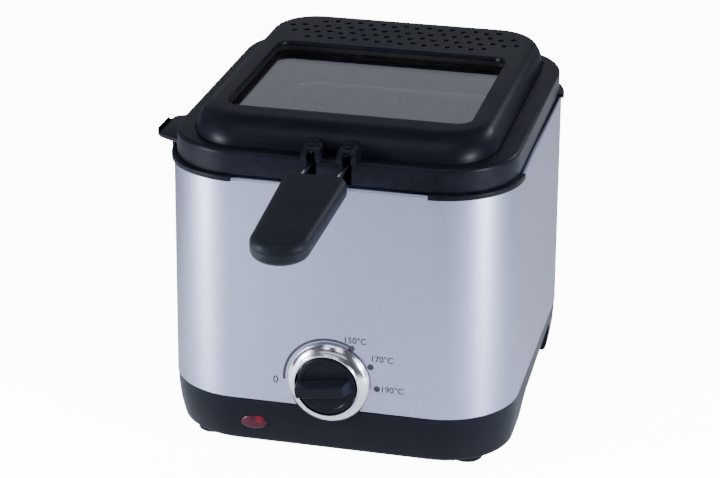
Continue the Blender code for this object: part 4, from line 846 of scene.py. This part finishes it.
class FRYER_OT_collar(PieceOperator):
    """Model the rim collar inside the casing, with a lip over each of its corners"""

    bl_idname = "fryer.collar"
    bl_label = "Rim collar"

    def execute(self, context):
        steps = settings().corner_steps + 8
        top = COLLAR_HIGH.z
        shape = body_slab("collar", 2.0 * mm, COLLAR_LOW.z, steps)
        shape.draw(
            (0, top - 0.4 * mm), (0.4 * mm, top), (3.6 * mm, top), (0, top - 1.8 * mm),
            (5.5 * mm, top - 1.8 * mm), (0, top - 3.8 * mm),
        )
        shape.fit(4 * mm, top - 3.8 * mm)
        shape.draw((0, COLLAR_LOW.z))
        collar = hollow(shape)

        bottom = top - 2.9 * mm
        reach = 1.7 * mm
        lip = body_slab("lip", -reach, bottom, steps)
        lip.draw((0, top - 0.7 * mm))
        lip.arc(0.7 * mm, 0.7 * mm, 4)
        lip.draw((3.6 * mm, top), (0, RIM + 0.4 * mm))
        lip.fit(-0.9 * mm, RIM + 0.4 * mm)
        lip.draw((0, bottom))
        ring = hollow(lip)
        far = 130 * mm
        side_y = HALF_DEPTH - CORNER
        side_x = HALF_WIDTH - CORNER
        carve(ring, block("gap", at(-far, -side_y, 0), at(far, side_y, 1)))
        carve(ring, block("gap", at(-side_x, -far, 0), at(side_x, far, 1)))
        finish_piece(collar, finish("plastic"), "body", ["rim_collar"])
        finish_piece(ring, finish("plastic"), "body", name="collar_corner_lips")
        return {"FINISHED"}


def base_inset(level):
    """How far the base is drawn in at a level, at its sides and at its front and rear."""
    share = (1 - (level - BASE_BOTTOM) / (CASING_BOTTOM - BASE_BOTTOM)) ** 2
    return 3.2 * mm * share, 7.4 * mm * share


class FRYER_OT_base(PieceOperator):
    """Model the base: a shallow tray that draws in towards its foot, with a finger recess at each side"""

    bl_idname = "fryer.base"
    bl_label = "Base"

    def execute(self, context):
        top = CASING_BOTTOM - 0.4 * mm
        wide = HALF_WIDTH + FLARE - 0.2 * mm
        deep = HALF_DEPTH - LEAN - 0.2 * mm
        shape = Slab("base", wide - 0.3 * mm, -deep + 0.3 * mm, deep - 0.3 * mm, CORNER, top)
        shape.step(wide, -deep, deep, top - 0.3 * mm)
        for share in (0.85, 0.7, 0.55, 0.4, 0.28, 0.18, 0.1, 0.045):
            level = BASE_BOTTOM + share * (CASING_BOTTOM - BASE_BOTTOM)
            side, end = base_inset(level)
            shape.step(wide - side, -deep + end, deep - end, level)
        side, end = base_inset(BASE_BOTTOM)
        side, end = side + 1.0 * mm, end + 1.0 * mm
        shape.step(wide - side, -deep + end, deep - end, BASE_BOTTOM)
        base = shape.piece
        tidy(base)
        for side in (-1, 1):
            carve(base, self.recess(side))
        pick_faces(base, lambda middle, normal: normal.z > 0.9 and middle.z > top - 1e-5)
        bpy.ops.mesh.delete(type="ONLY_FACE")
        only(base)
        use(base, "SOLIDIFY", thickness=2.4 * mm, offset=-1.0, use_even_offset=True)
        pilot = Vector((LENS.x, LENS_LOW.y - 5 * mm, LENS.z))
        holes = [self.slot(i) for i in range(5)] + [
            rod("hole", at(-45 * mm, 120 * mm, 19.5 * mm), FRONT, 5.2 * mm, 20 * mm),
            rod("hole", pilot, REAR, 8.4 * mm, 20 * mm, 40, 4.6 / 8.4),
        ]
        for hole in holes:
            carve(base, hole)
        finish_piece(base, finish("plastic"), "body", ["base_tray"], 30)
        return {"FINISHED"}

    def recess(self, side):
        """The finger recess's shape, with a sloped front and rounded upper corners."""
        wide = HALF_WIDTH + FLARE
        inner, outer = side * (wide - 16 * mm), side * (wide + 8 * mm)
        low, high = min(inner, outer), max(inner, outer)
        tool = block("recess", at(low, -47 * mm, -5 * mm), at(high, 60 * mm, 26 * mm))
        pick_points(tool, lambda place: place.z > 0 and place.y < MIDDLE.y)
        bpy.ops.transform.translate(value=(0, 12 * mm, -8 * mm))
        pick_points(tool, lambda place: place.z > 0 and place.y > MIDDLE.y)
        bpy.ops.transform.translate(value=(0, -6 * mm, 0))
        pick_edges(tool, lambda a, b: min(a.z, b.z) > 0 and abs(a.x - b.x) > 1 * mm)
        bpy.ops.mesh.bevel(offset=6 * mm, segments=8, affect="EDGES")
        only(tool)
        return tool

    def slot(self, number):
        y = (number - 2) * 12 * mm
        return block("slot", at(-20 * mm, y - 2 * mm, -5 * mm), at(20 * mm, y + 2 * mm, 12 * mm))


class FRYER_OT_feet(PieceOperator):
    """Model one rubber foot and copy it to the four corners"""

    bl_idname = "fryer.feet"
    bl_label = "Feet"

    def execute(self, context):
        feet = {}
        for node in ("foot_front_left", "foot_front_right", "foot_rear_left", "foot_rear_right"):
            low, high = box_of(node)
            middle = (low + high) / 2
            if not feet:
                first = middle
                start = Vector((middle.x, middle.y, BASE_BOTTOM - 0.3 * mm))
                shape = Turned("rubber_" + node, start, -UP, 9.3 * mm, 48)
                shape.follow((9.5, 0.2), (9.5, 2.1), (9.3, 2.7), (8.7, 3.2), (7.4, 3.2), (7.0, 2.9), (3.0, 2.9))
                foot = feet[node] = shape.piece
                tidy(foot)
            else:
                feet[node] = copy_of(foot, "rubber_" + node, (middle.x - first.x, middle.y - first.y, 0))
        for node, piece in feet.items():
            finish_piece(piece, finish("rubber"), "body", [node])
        return {"FINISHED"}


class FRYER_OT_gland(PieceOperator):
    """Model the cord inlet's rubber gland at the rear"""

    bl_idname = "fryer.gland"
    bl_label = "Cord gland"

    def execute(self, context):
        low, high = box_of("cord_gland")
        middle = (low + high) / 2
        shape = Turned("inlet_gland", Vector((middle.x, low.y, middle.z)), REAR, 5.6 * mm, 48)
        length = (high.y - low.y) / mm
        shape.follow(
            (5.6, 2.4), (4.8, 2.4), (4.8, length - 4.0), (6.6, length - 4.0), (7.0, length - 3.6),
            (7.0, length - 2.9), (6.6, length - 2.5), (5.6, length - 2.0), (5.1, length - 0.3),
            (4.8, length), (3.5, length), (3.2, length - 0.3), (3.2, 0.0),
        )
        finish_piece(hollow(shape), finish("rubber"), "body", ["cord_gland"])
        return {"FINISHED"}


class FRYER_OT_pot(PieceOperator):
    """Model the oil pot with its flange and rounded foot"""

    bl_idname = "fryer.pot"
    bl_label = "Oil pot"

    def execute(self, context):
        top, floor = POT_HIGH.z, POT_LOW.z + 1.2 * mm
        bend = 12 * mm
        shape = body_slab("pot", 6.9 * mm, top)
        shape.draw(
            (5.6 * mm, top), (0.5 * mm, top - 0.2 * mm), (0.2 * mm, top - 0.8 * mm), (4.2 * mm, floor + bend)
        )
        shape.arc(bend, -bend, 8)
        pot = shape.piece
        only(pot)
        use(pot, "SOLIDIFY", thickness=1.0 * mm, offset=-1.0, use_even_offset=True)
        finish_piece(pot, finish("pot"), "body", ["oil_pot"])
        return {"FINISHED"}


class FRYER_OT_lid(PieceOperator):
    """Model the lid: skirt, ledge, groove, dome, hoods over the handle's slots, window and vents"""

    bl_idname = "fryer.lid"
    bl_label = "Lid"

    def execute(self, context):
        shape = body_slab("lid", SKIRT_INSET, SKIRT_BOTTOM)
        shape.draw((0, LEDGE - 2.4 * mm))
        shape.arc(2.4 * mm, 2.4 * mm, 6)
        wide, front, rear = DOME_FOOT
        edge = (wide + GROOVE, front - GROOVE, rear - 0.05 * mm + GROOVE * 0.1)
        bottom = LEDGE - GROOVE
        rear -= GROOVE
        shape.step(*edge, LEDGE)
        shape.step(*edge, bottom)
        shape.step(wide, front, rear, bottom)
        for back, climb in quarter(12):
            side = 9 * mm * back
            shape.step(wide - side, front + 2 * side, rear - side, bottom + (LID_TOP - bottom) * climb)
        lid = shape.piece
        only(lid)
        pick_faces(lid, lambda middle, normal: middle.z < SKIRT_BOTTOM + 1e-5)
        bpy.ops.mesh.delete(type="ONLY_FACE")
        tidy(lid)
        use(lid, "SOLIDIFY", thickness=LID_WALL, offset=-1.0, use_even_offset=True)

        half, front, rear = WINDOW
        window = Slab("hole", half + 1.2 * mm, front - 1.2 * mm, rear + 1.2 * mm, 10.2 * mm, LID_TOP + 0.4 * mm)
        for out, down in ((0.75 * mm, 0.05 * mm), (0.2 * mm, 0.4 * mm), (0, 1.0 * mm)):
            window.step(half + out, front - out, rear + out, LID_TOP - down)
        window.draw((0, LID_TOP - 12 * mm))
        close_start(window)
        carve(lid, window.piece)
        carve(lid, self.vents())
        front = LID_LOW.y - MIDDLE.y
        for x in WIRES:
            hood = self.arch(x, 6.2 * mm, LEDGE - 1.5 * mm, SLOT_TOP + 3.5 * mm, front + 3.0 * mm, -98 * mm)
            carve(lid, hood, "UNION")
            hood = self.arch(x, 5.4 * mm, LEDGE - 1.2 * mm, SLOT_TOP + 2.8 * mm, front, -108 * mm)
            carve(lid, hood, "UNION")
        for x in WIRES:
            slot = self.arch(x, SLOT_RADIUS, SKIRT_BOTTOM - 4 * mm, SLOT_TOP, -125 * mm, -94 * mm, 0.0)
            carve(lid, slot, solver="FAST")
        finish_piece(lid, finish("plastic"), "lid", ["lid_shell"], 32)
        return {"FINISHED"}

    def arch(self, x, radius, low, high, front, rear, soft=0.5 * mm):
        """A block along Y with a half-round top and a softened front edge."""
        piece = block("arch", at(x - radius, front, low), at(x + radius, rear, high))
        pick_edges(piece, lambda a, b: min(a.z, b.z) > high - 1e-6 and abs(a.y - b.y) > 1 * mm)
        bpy.ops.mesh.bevel(offset=radius * 0.996, segments=14, affect="EDGES")
        only(piece)
        if soft:
            pick_faces(piece, lambda middle, normal: normal.y < -0.9)
            bpy.ops.mesh.inset(thickness=soft, depth=0.0)
            only(piece)
        return piece

    def vents(self):
        """All the vent holes' cutters as one: a round hole with a flare at its mouth, copied."""
        columns = 19
        pitch = 7.3 * mm
        first = Turned("vent", at(0, 0, LID_TOP + 0.5 * mm), -UP, 2.5 * mm, 14)
        first.follow((2.15, 0.55), (1.8, 0.95), (1.8, 6))
        seed = first.piece
        tidy(seed)
        holes = []
        for row in range(4):
            shorter = 2 if row in (0, 3) else 0
            for column in range(shorter, columns + 1 - shorter):
                x = (column - columns / 2) * pitch + (row % 2 - 0.5) * pitch / 2
                swing = 1.3 * mm if column % 2 else -1.3 * mm
                y = WINDOW[2] + 13 * mm + row * 10.7 * mm + swing
                holes.append(copy_of(seed, "vent", (x, y, 0)))
        bpy.data.objects.remove(seed, do_unlink=True)
        return as_one(holes, "vents")


def close_start(shape):
    """Fills the open first edge of a shape."""
    bpy.ops.mesh.select_mode(type="EDGE")
    bpy.ops.mesh.select_non_manifold(extend=False)
    bpy.ops.mesh.edge_face_add()
    only(shape.piece)


class FRYER_OT_lid_rim(PieceOperator):
    """Model the ring inside the lid's skirt, with its thumb tab and locating rib"""

    bl_idname = "fryer.lid_rim"
    bl_label = "Lid rim and thumb tab"

    def execute(self, context):
        low, high = box_of("lid_rim")
        outer = SKIRT_INSET + LID_WALL + 0.4 * mm
        bottom = SKIRT_BOTTOM + 0.4 * mm
        shape = body_slab("rim", outer, bottom)
        shape.draw((0, high.z), (1.6 * mm, high.z), (0, bottom))
        rim = hollow(shape)
        gap = block("gap", at(-12.5 * mm, -120 * mm, bottom - 1 * mm), at(12.5 * mm, -94 * mm, high.z + 1 * mm))
        carve(rim, gap)
        level = SKIRT_BOTTOM + 2.6 * mm
        inner = -93.5 * mm
        tab = block("tab", at(low.x - MIDDLE.x, -82 * mm, level), at(inner, -33 * mm, level + 3 * mm))
        pick_points(tab, lambda place: place.x < at(-100 * mm, 0, 0).x)
        bpy.ops.transform.resize(value=(1, 0.56, 1), center_override=at(0, -57.5 * mm, level))
        pick_edges(tab, lambda a, b: max(a.x, b.x) < at(-100 * mm, 0, 0).x and abs(a.z - b.z) > 1 * mm)
        bpy.ops.mesh.bevel(offset=4.0 * mm, segments=8, affect="EDGES")
        pick_faces(tab, lambda middle, normal: abs(normal.z) > 0.9)
        bpy.ops.mesh.bevel(offset=0.7 * mm, segments=4, affect="EDGES")
        only(tab)
        rib_x = -(HALF_WIDTH + 4.1 * mm)
        rib = block("rib", at(rib_x, -68 * mm, low.z), at(rib_x + 2 * mm, -48 * mm, level + 1.5 * mm), 0.4 * mm)
        piece = as_one([rim, tab, rib], "lid_rim_and_tab")
        finish_piece(piece, finish("plastic"), "lid", ["lid_rim"])
        return {"FINISHED"}


class FRYER_OT_window(PieceOperator):
    """Model the window glass with polished edges"""

    bl_idname = "fryer.window"
    bl_label = "Window"

    def execute(self, context):
        half = (GLASS_HIGH.x - GLASS_LOW.x) / 2
        front, rear = GLASS_LOW.y - MIDDLE.y, GLASS_HIGH.y - MIDDLE.y
        shape = Slab("glass", half - 0.3 * mm, front + 0.3 * mm, rear - 0.3 * mm, 11.3 * mm, GLASS_LOW.z, 10)
        shape.step(half, front, rear, GLASS_LOW.z + 0.3 * mm)
        shape.step(half, front, rear, GLASS_HIGH.z - 0.3 * mm)
        shape.draw((0.3 * mm, GLASS_HIGH.z))
        tidy(shape.piece)
        finish_piece(shape.piece, finish("glass"), "lid", ["window_glass"])
        return {"FINISHED"}


class FRYER_OT_basket(PieceOperator):
    """Model the woven basket and its rim wire"""

    bl_idname = "fryer.basket"
    bl_label = "Basket"

    def execute(self, context):
        wide = (BASKET_HIGH.x - BASKET_LOW.x) / 2
        deep = (BASKET_HIGH.y - BASKET_LOW.y) / 2
        top, floor = BASKET_HIGH.z, BASKET_LOW.z
        wall = 0.7 * mm
        form = Slab("form", wide - wall, -deep + wall, deep - wall, 24 * mm, top)
        form.draw((5.2 * mm, floor + 10 * mm))
        form.arc(9.5 * mm, -9.4 * mm, 8)
        form = form.piece
        only(form)

        pitch = settings().weave
        columns, rows = round(2 * wide / pitch), round(2 * deep / pitch)
        begin()
        bpy.ops.mesh.primitive_grid_add(x_subdivisions=columns, y_subdivisions=rows, size=1.0)
        weave = named("basket_weave")
        edit_all(weave)
        bpy.ops.transform.resize(value=(2 * (wide - 6 * mm), 2 * (deep - 6 * mm), 1), center_override=(0, 0, 0))
        bpy.ops.transform.translate(value=at(0, 0, floor + 0.6 * mm))
        bpy.ops.mesh.region_to_loop()
        levels = round((top - floor) / pitch)
        rise = (top - floor - 0.6 * mm) / levels
        grow = 1 + 6 * mm / wide / levels
        for _ in range(levels):
            push((0, 0, rise))
            bpy.ops.transform.resize(value=(grow, grow, 1), center_override=at(0, 0, 0))
        only(weave)
        use(weave, "SHRINKWRAP", target=form, wrap_method="NEAREST_SURFACEPOINT")
        bpy.data.objects.remove(form, do_unlink=True)
        use(weave, "WIREFRAME", thickness=1.0 * mm, use_even_offset=False, use_replace=True, use_boundary=True)
        finish_piece(weave, finish("weave"), "basket", ["basket_mesh"], 60)

        low, high = box_of("basket_rim")
        level = (low.z + high.z) / 2
        ring = Slab("basket_rim_wire", wide - wall, -deep + wall, deep - wall, 24 * mm - wall, level)
        bpy.ops.mesh.delete(type="ONLY_FACE")
        rim = as_wire(ring.piece, 2.0 * mm, 5)
        finish_piece(rim, finish("wire"), "basket", ["basket_rim"], name="basket_rim_wire")
        return {"FINISHED"}


class FRYER_OT_handle(PieceOperator):
    """Model the folding handle: two chrome wires and the two halves of the grip"""

    bl_idname = "fryer.handle"
    bl_label = "Handle"

    def execute(self, context):
        level = 183.0 * mm
        near = -138.9 * mm
        hinge = at(0, near, level)
        turn = Matrix.Rotation(GRIP_TILT, 3, "X")
        for side, node in ((-1, "handle_wire_left"), (1, "handle_wire_right")):
            x = side * 10 * mm
            end = turn @ (at(x, near - 30 * mm, level) - hinge) + hinge
            inside = -88 * mm
            points = [at(side * 17.5 * mm, inside, level), at(x, inside, level), at(x, near, level), end]
            wire = bent_wire("chrome_" + node, points, WIRE_RADIUS, 2.4 * mm, 8, 6)
            finish_piece(wire, finish("wire"), "handle", [node], name="chrome_" + node)
        middle = level - 1.2 * mm
        for name, node, cut, flat in (
            ("grip_upper_half", "grip_top", level + 0.15 * mm, middle + 6.3 * mm),
            ("grip_lower_half", "grip_bottom", level - 0.15 * mm, middle - 6.3 * mm),
        ):
            half = self.grip_half(name, near, cut, flat)
            if node == "grip_bottom":
                carve(half, rod("well", at(0, near - 45.5 * mm, flat - 3 * mm), UP, 3.2 * mm, 5 * mm))
            half.data.transform(Matrix.Translation(hinge) @ turn.to_4x4() @ Matrix.Translation(-hinge))
            finish_piece(half, finish("grip"), "handle", [node], 40)
        return {"FINISHED"}

    def grip_half(self, name, near, cut, flat):
        """Half of the grip, from the split to its rounded face."""
        length, near_width, far_width = 91 * mm, 36 * mm, 30.8 * mm
        near_corner, far_corner = 7 * mm, 15.1 * mm
        piece = rectangle(name, near_width, length, at(0, near - length / 2, cut))
        far_y = at(0, near - length, 0).y
        pick_points(piece, lambda place: place.y < far_y + 1e-5)
        narrow = (far_width / near_width, 1, 1)
        bpy.ops.transform.resize(value=narrow, center_override=at(0, near - length, cut))
        bpy.ops.mesh.bevel(offset=far_corner, segments=18, affect="VERTICES")
        near_y = at(0, near, 0).y
        pick_points(piece, lambda place: place.y > near_y - 1e-5)
        bpy.ops.mesh.bevel(offset=near_corner, segments=10, affect="VERTICES")
        bpy.ops.mesh.select_mode(type="FACE")
        bpy.ops.mesh.select_all(action="SELECT")
        round_off = 4.8 * mm if flat > cut else 4.6 * mm
        way = 1 if flat > cut else -1
        edge = flat - way * round_off
        push((0, 0, edge - cut))
        last_in, last_up = 0.0, 0.0
        for share, climb in quarter(8):
            bpy.ops.mesh.inset(
                thickness=round_off * (share - last_in), depth=way * round_off * (climb - last_up)
            )
            last_in, last_up = share, climb
        tidy(piece)
        return piece


class FRYER_OT_dial(PieceOperator):
    """Model the raised chrome ring and the knob with its grip bar"""

    bl_idname = "fryer.dial"
    bl_label = "Dial"

    def execute(self, context):
        back = BEZEL_HIGH.y
        radius = (BEZEL_HIGH.x - BEZEL_LOW.x) / 2 - 0.2 * mm
        tall = BEZEL_HIGH.y - BEZEL_LOW.y
        shape = Turned("dial_ring", Vector((DIAL.x, back, DIAL.z)), FRONT, radius, 128)
        outer, top = radius / mm, tall / mm
        lip = outer - 5.8
        shape.follow(
            (outer, 0.4), (outer - 0.1, 0.9), (outer - 0.5, 1.6), (outer - 1.2, 2.6), (outer - 2.1, 3.5),
            (outer - 3.1, 4.3), (outer - 4.1, 4.9), (lip + 0.9, top - 0.95), (lip + 0.7, top - 0.8),
            (lip + 0.55, top - 0.3), (lip + 0.3, top), (lip - 0.1, top), (lip - 0.35, top - 0.3),
            (lip - 0.5, top - 0.8), (lip - 0.5, 0.0),
        )
        finish_piece(hollow(shape), finish("chrome"), "body", ["dial_bezel"], 40)

        back = KNOB_HIGH.y
        radius = 17.4
        shape = Turned("knob_disc", Vector((DIAL.x, back, DIAL.z)), FRONT, radius * mm, 96)
        shape.follow((radius, 4.6), (17.2, 5.3), (16.7, 5.7), (16.0, 5.8), (14.6, 5.8), (14.2, 5.5))
        disc = shape.piece
        tidy(disc)
        face = back - 5.5 * mm
        tip = KNOB_LOW.y
        half_bar = 3.8 * mm
        low = Vector((DIAL.x - 17.1 * mm, tip, DIAL.z - half_bar))
        bar = block("bar", low, Vector((DIAL.x + 15.2 * mm, face + 0.4 * mm, DIAL.z + half_bar)))
        pick_points(bar, lambda place: place.x > DIAL.x and place.y < tip + 1e-5)
        bpy.ops.transform.translate(value=(-3.8 * mm, 0, 0))
        pick_points(bar, lambda place: place.x < DIAL.x and place.y < tip + 1e-5)
        bpy.ops.transform.translate(value=(0.8 * mm, 0, 0))
        pick_points(bar, lambda place: place.y < tip + 1e-5)
        bpy.ops.transform.resize(value=(1, 1, 0.84), center_override=(DIAL.x, tip, DIAL.z))
        pick_edges(
            bar,
            lambda a, b: max(a.y, b.y) < tip + 1e-4 or (max(a.x, b.x) < DIAL.x and abs(a.y - b.y) > 1 * mm),
        )
        bpy.ops.mesh.bevel(offset=0.9 * mm, segments=5, affect="EDGES")
        only(bar)
        turn = Matrix.Rotation(-POINTER_DROP, 4, "Y")
        bar.data.transform(Matrix.Translation(DIAL) @ turn @ Matrix.Translation(-DIAL))
        knob = as_one([disc, bar], "knob")
        finish_piece(knob, finish("knob"), "knob", ["control_knob"], 35)
        return {"FINISHED"}


class FRYER_OT_pilot(PieceOperator):
    """Model the oval pilot lens"""

    bl_idname = "fryer.pilot"
    bl_label = "Pilot lens"

    def execute(self, context):
        half = (LENS_HIGH.x - LENS_LOW.x) / 2
        tall = (LENS_HIGH.z - LENS_LOW.z) / 2
        depth = LENS_HIGH.y - LENS_LOW.y
        shape = Turned("lens", Vector((LENS.x, LENS_HIGH.y, LENS.z)), FRONT, half - 0.4 * mm, 64, tall / half)
        seat = depth - 1.6 * mm
        for radius, along in ((half - 0.4 * mm, seat * 0.3), (half, seat * 0.4), (half, seat)):
            shape.step(radius, along)
        for i in range(1, 9):
            angle = math.radians(88 * i / 8)
            shape.step(half * (0.30 + 0.70 * math.cos(angle)), seat + 1.6 * mm * math.sin(angle))
        tidy(shape.piece)
        finish_piece(shape.piece, finish("red"), "body", ["pilot_lens"], 50)
        return {"FINISHED"}


class FRYER_OT_markings(PieceOperator):
    """Print the dial's numbers, its dots and the line round its upper left"""

    bl_idname = "fryer.markings"
    bl_label = "Dial markings"

    def execute(self, context):
        lean = math.atan2(LEAN, RIM - CASING_BOTTOM)
        pieces = []
        size = settings().lettering
        for words, x, z in (
            ("0", -32.8, 46.2), ("150°C", 8.4, 76.2), ("170°C", 24.0, 66.2), ("190°C", 30.0, 47.6),
        ):
            pieces.append(self.number(words, x * mm, z * mm, size * (1.22 if words == "0" else 1.0), lean))
        for x, z in ((13.2, 73.0), (24.2, 62.6), (28.0, 49.2)):
            start = at(x * mm, casing_front(z * mm) + 0.1 * mm, z * mm)
            pieces.append(rod("dot", start, FRONT, 1.9 * mm, 0.14 * mm, 24))
        pieces.append(self.line(lean))
        for piece in pieces:
            tidy(piece)
        ink = as_one(pieces, "dial_markings")
        finish_piece(ink, finish("ink"), "body")
        return {"FINISHED"}

    def number(self, words, x, z, size, lean):
        begin()
        place = at(x, casing_front(z) - 0.02 * mm, z)
        bpy.ops.object.text_add(location=place, rotation=(math.pi / 2 + lean, 0, 0))
        text = bpy.context.object
        text.data.body = words
        text.data.size = size
        text.data.extrude = 0.02 * mm
        text.data.offset = 0.09 * mm
        bpy.ops.object.convert(target="MESH")
        piece = bpy.context.object
        bpy.ops.object.transform_apply()
        return piece

    def line(self, lean):
        """The broad arc from the 0, over the dial's upper left, to the first dot."""
        inside, outside = 25.5 * mm, 27.0 * mm
        start, end = math.radians(183), math.radians(60)
        out = Vector((0, -math.cos(lean), -math.sin(lean)))
        upward = Vector((0, -math.sin(lean), math.cos(lean)))
        centre = at(0, casing_front(DIAL.z), DIAL.z)
        spoke = Vector((math.cos(start), 0, 0)) + math.sin(start) * upward
        piece = first_point("line", centre + inside * spoke - 0.05 * mm * out)
        draw_to((outside - inside) * spoke)
        bpy.ops.mesh.select_all(action="SELECT")
        bpy.ops.mesh.spin(steps=48, angle=start - end, center=centre, axis=out)
        bpy.ops.mesh.select_mode(type="FACE")
        bpy.ops.mesh.select_all(action="SELECT")
        push(0.1 * mm * out)
        only(piece)
        return piece


class FRYER_OT_inner_finishes(PieceOperator):
    """Give every part that is shown as it is its own finish"""

    bl_idname = "fryer.inner_finishes"
    bl_label = "Finishes of the other parts"

    def execute(self, context):
        slots = {
            "black_plastic": "plastic", "handle_plastic": "grip", "brushed_steel": "steel", "chrome": "chrome",
            "rubber": "rubber", "glass": "glass", "red_lens": "red", "pot_coating": "pot",
            "aluminium": "aluminium", "wire_mesh": "wire", "filter": "felt", "insulation": "insulation",
            "brass": "brass",
        }
        for entry in frame["record"]["subparts"]:
            node = frame["nodes"][entry["node"]]
            material = finish(slots[entry["material_slot"]])
            if entry["node"] == "thermostat_shaft":
                material = finish("brass")
            node.data.materials.clear()
            node.data.materials.append(material)
        return {"FINISHED"}


class FRYER_OT_stage(PieceOperator):
    """Set the floor, the soft lights and the camera"""

    bl_idname = "fryer.stage"
    bl_label = "Floor, lights and camera"

    def execute(self, context):
        begin()
        bpy.ops.mesh.primitive_grid_add(x_subdivisions=4, y_subdivisions=4, size=14.0)
        floor = named("floor")
        floor.data.materials.append(finish("floor"))
        world = bpy.context.scene.world or bpy.data.worlds.new("studio")
        bpy.context.scene.world = world
        world.use_nodes = True
        backdrop = world.node_tree.nodes["Background"]
        backdrop.inputs["Color"].default_value = (0.82, 0.88, 1.0, 1.0)
        backdrop.inputs["Strength"].default_value = 0.1
        power = settings().light
        # Each light's name, place, target, width, height in metres and power
        lights = (
            ("overhead", (0.0, -0.55, 1.5), (0, -0.1, 0.1), 1.0, 0.8, power * 0.5),
            ("left_panel", (-1.15, -0.62, 0.42), (0, 0, 0.1), 0.3, 1.0, power * 0.45),
            ("right_panel", (1.15, -0.35, 0.42), (0, 0, 0.1), 0.3, 1.0, power * 0.35),
            ("floor_wash", (0.0, -1.6, 1.2), (0, -0.7, 0.0), 1.6, 0.5, power * 0.15),
            ("left_pool", (-0.46, -0.34, 0.24), (-0.36, -0.24, 0.0), 0.12, 0.12, power * 0.42),
            ("right_pool", (0.52, -0.2, 0.24), (0.40, -0.1, 0.0), 0.12, 0.12, power * 0.32),
            ("rear_wall", (-0.6, 2.4, 1.05), (0, 0.1, 0.18), 2.4, 1.4, power * 0.26),
            ("rear_pool", (0.55, 0.65, 0.5), (0.27, 0.32, 0.0), 0.2, 0.2, power * 0.15),
        )
        for name, place, target, width, height, watts in lights:
            self.panel(name, Vector(place), Vector(target), width, height, watts)
        bpy.ops.object.camera_add(location=(0.28529, -1.17959, 0.62087))
        camera = named("camera")
        turn, tilt, roll = math.radians(13.137), math.radians(22.603), math.radians(0.521)
        away = Vector((math.sin(turn) * math.cos(tilt), -math.cos(turn) * math.cos(tilt), math.sin(tilt)))
        right = UP.cross(away).normalized()
        above = away.cross(right)
        level = math.cos(roll) * right + math.sin(roll) * above
        upright = -math.sin(roll) * right + math.cos(roll) * above
        camera.rotation_euler = Matrix((level, upright, away)).transposed().to_euler()
        camera.data.lens = 113.57
        camera.data.sensor_width = 36.0
        bpy.context.scene.camera = camera
        return {"FINISHED"}

    def panel(self, name, place, target, width, height, watts):
        bpy.ops.object.light_add(type="AREA", location=place)
        lamp = named(name)
        lamp.data.shape = "RECTANGLE"
        lamp.data.size = width
        lamp.data.size_y = height
        lamp.data.energy = watts
        lamp.data.color = (0.84, 0.89, 1.0)
        lamp.rotation_euler = (place - target).to_track_quat("Z", "Y").to_euler()


class FRYER_PT_panel(bpy.types.Panel):
    """The fryer's settings and its operators"""

    bl_idname = "FRYER_PT_panel"
    bl_label = "Deep Fryer"
    bl_space_type = "VIEW_3D"
    bl_region_type = "UI"
    bl_category = "Fryer"

    def draw(self, context):
        layout = self.layout
        for name in FryerSettings.__annotations__:
            layout.prop(context.scene.fryer, name)
        for operator in OPERATORS:
            layout.operator(operator.bl_idname)


OPERATORS = (
    FRYER_OT_stage,
    FRYER_OT_inner_finishes,
    FRYER_OT_base,
    FRYER_OT_feet,
    FRYER_OT_gland,
    FRYER_OT_casing,
    FRYER_OT_collar,
    FRYER_OT_pot,
    FRYER_OT_basket,
    FRYER_OT_lid,
    FRYER_OT_lid_rim,
    FRYER_OT_window,
    FRYER_OT_handle,
    FRYER_OT_dial,
    FRYER_OT_pilot,
    FRYER_OT_markings,
)
CLASSES = (FryerSettings, *OPERATORS, FRYER_PT_panel)


def register():
    for item in CLASSES:
        bpy.utils.register_class(item)
    bpy.types.Scene.fryer = PointerProperty(type=FryerSettings)


def unregister():
    del bpy.types.Scene.fryer
    for item in reversed(CLASSES):
        bpy.utils.unregister_class(item)


def main():
    register()
    for operator in OPERATORS:
        group, name = operator.bl_idname.split(".")
        getattr(getattr(bpy.ops, group), name)()


if __name__ == "__main__":
    main()
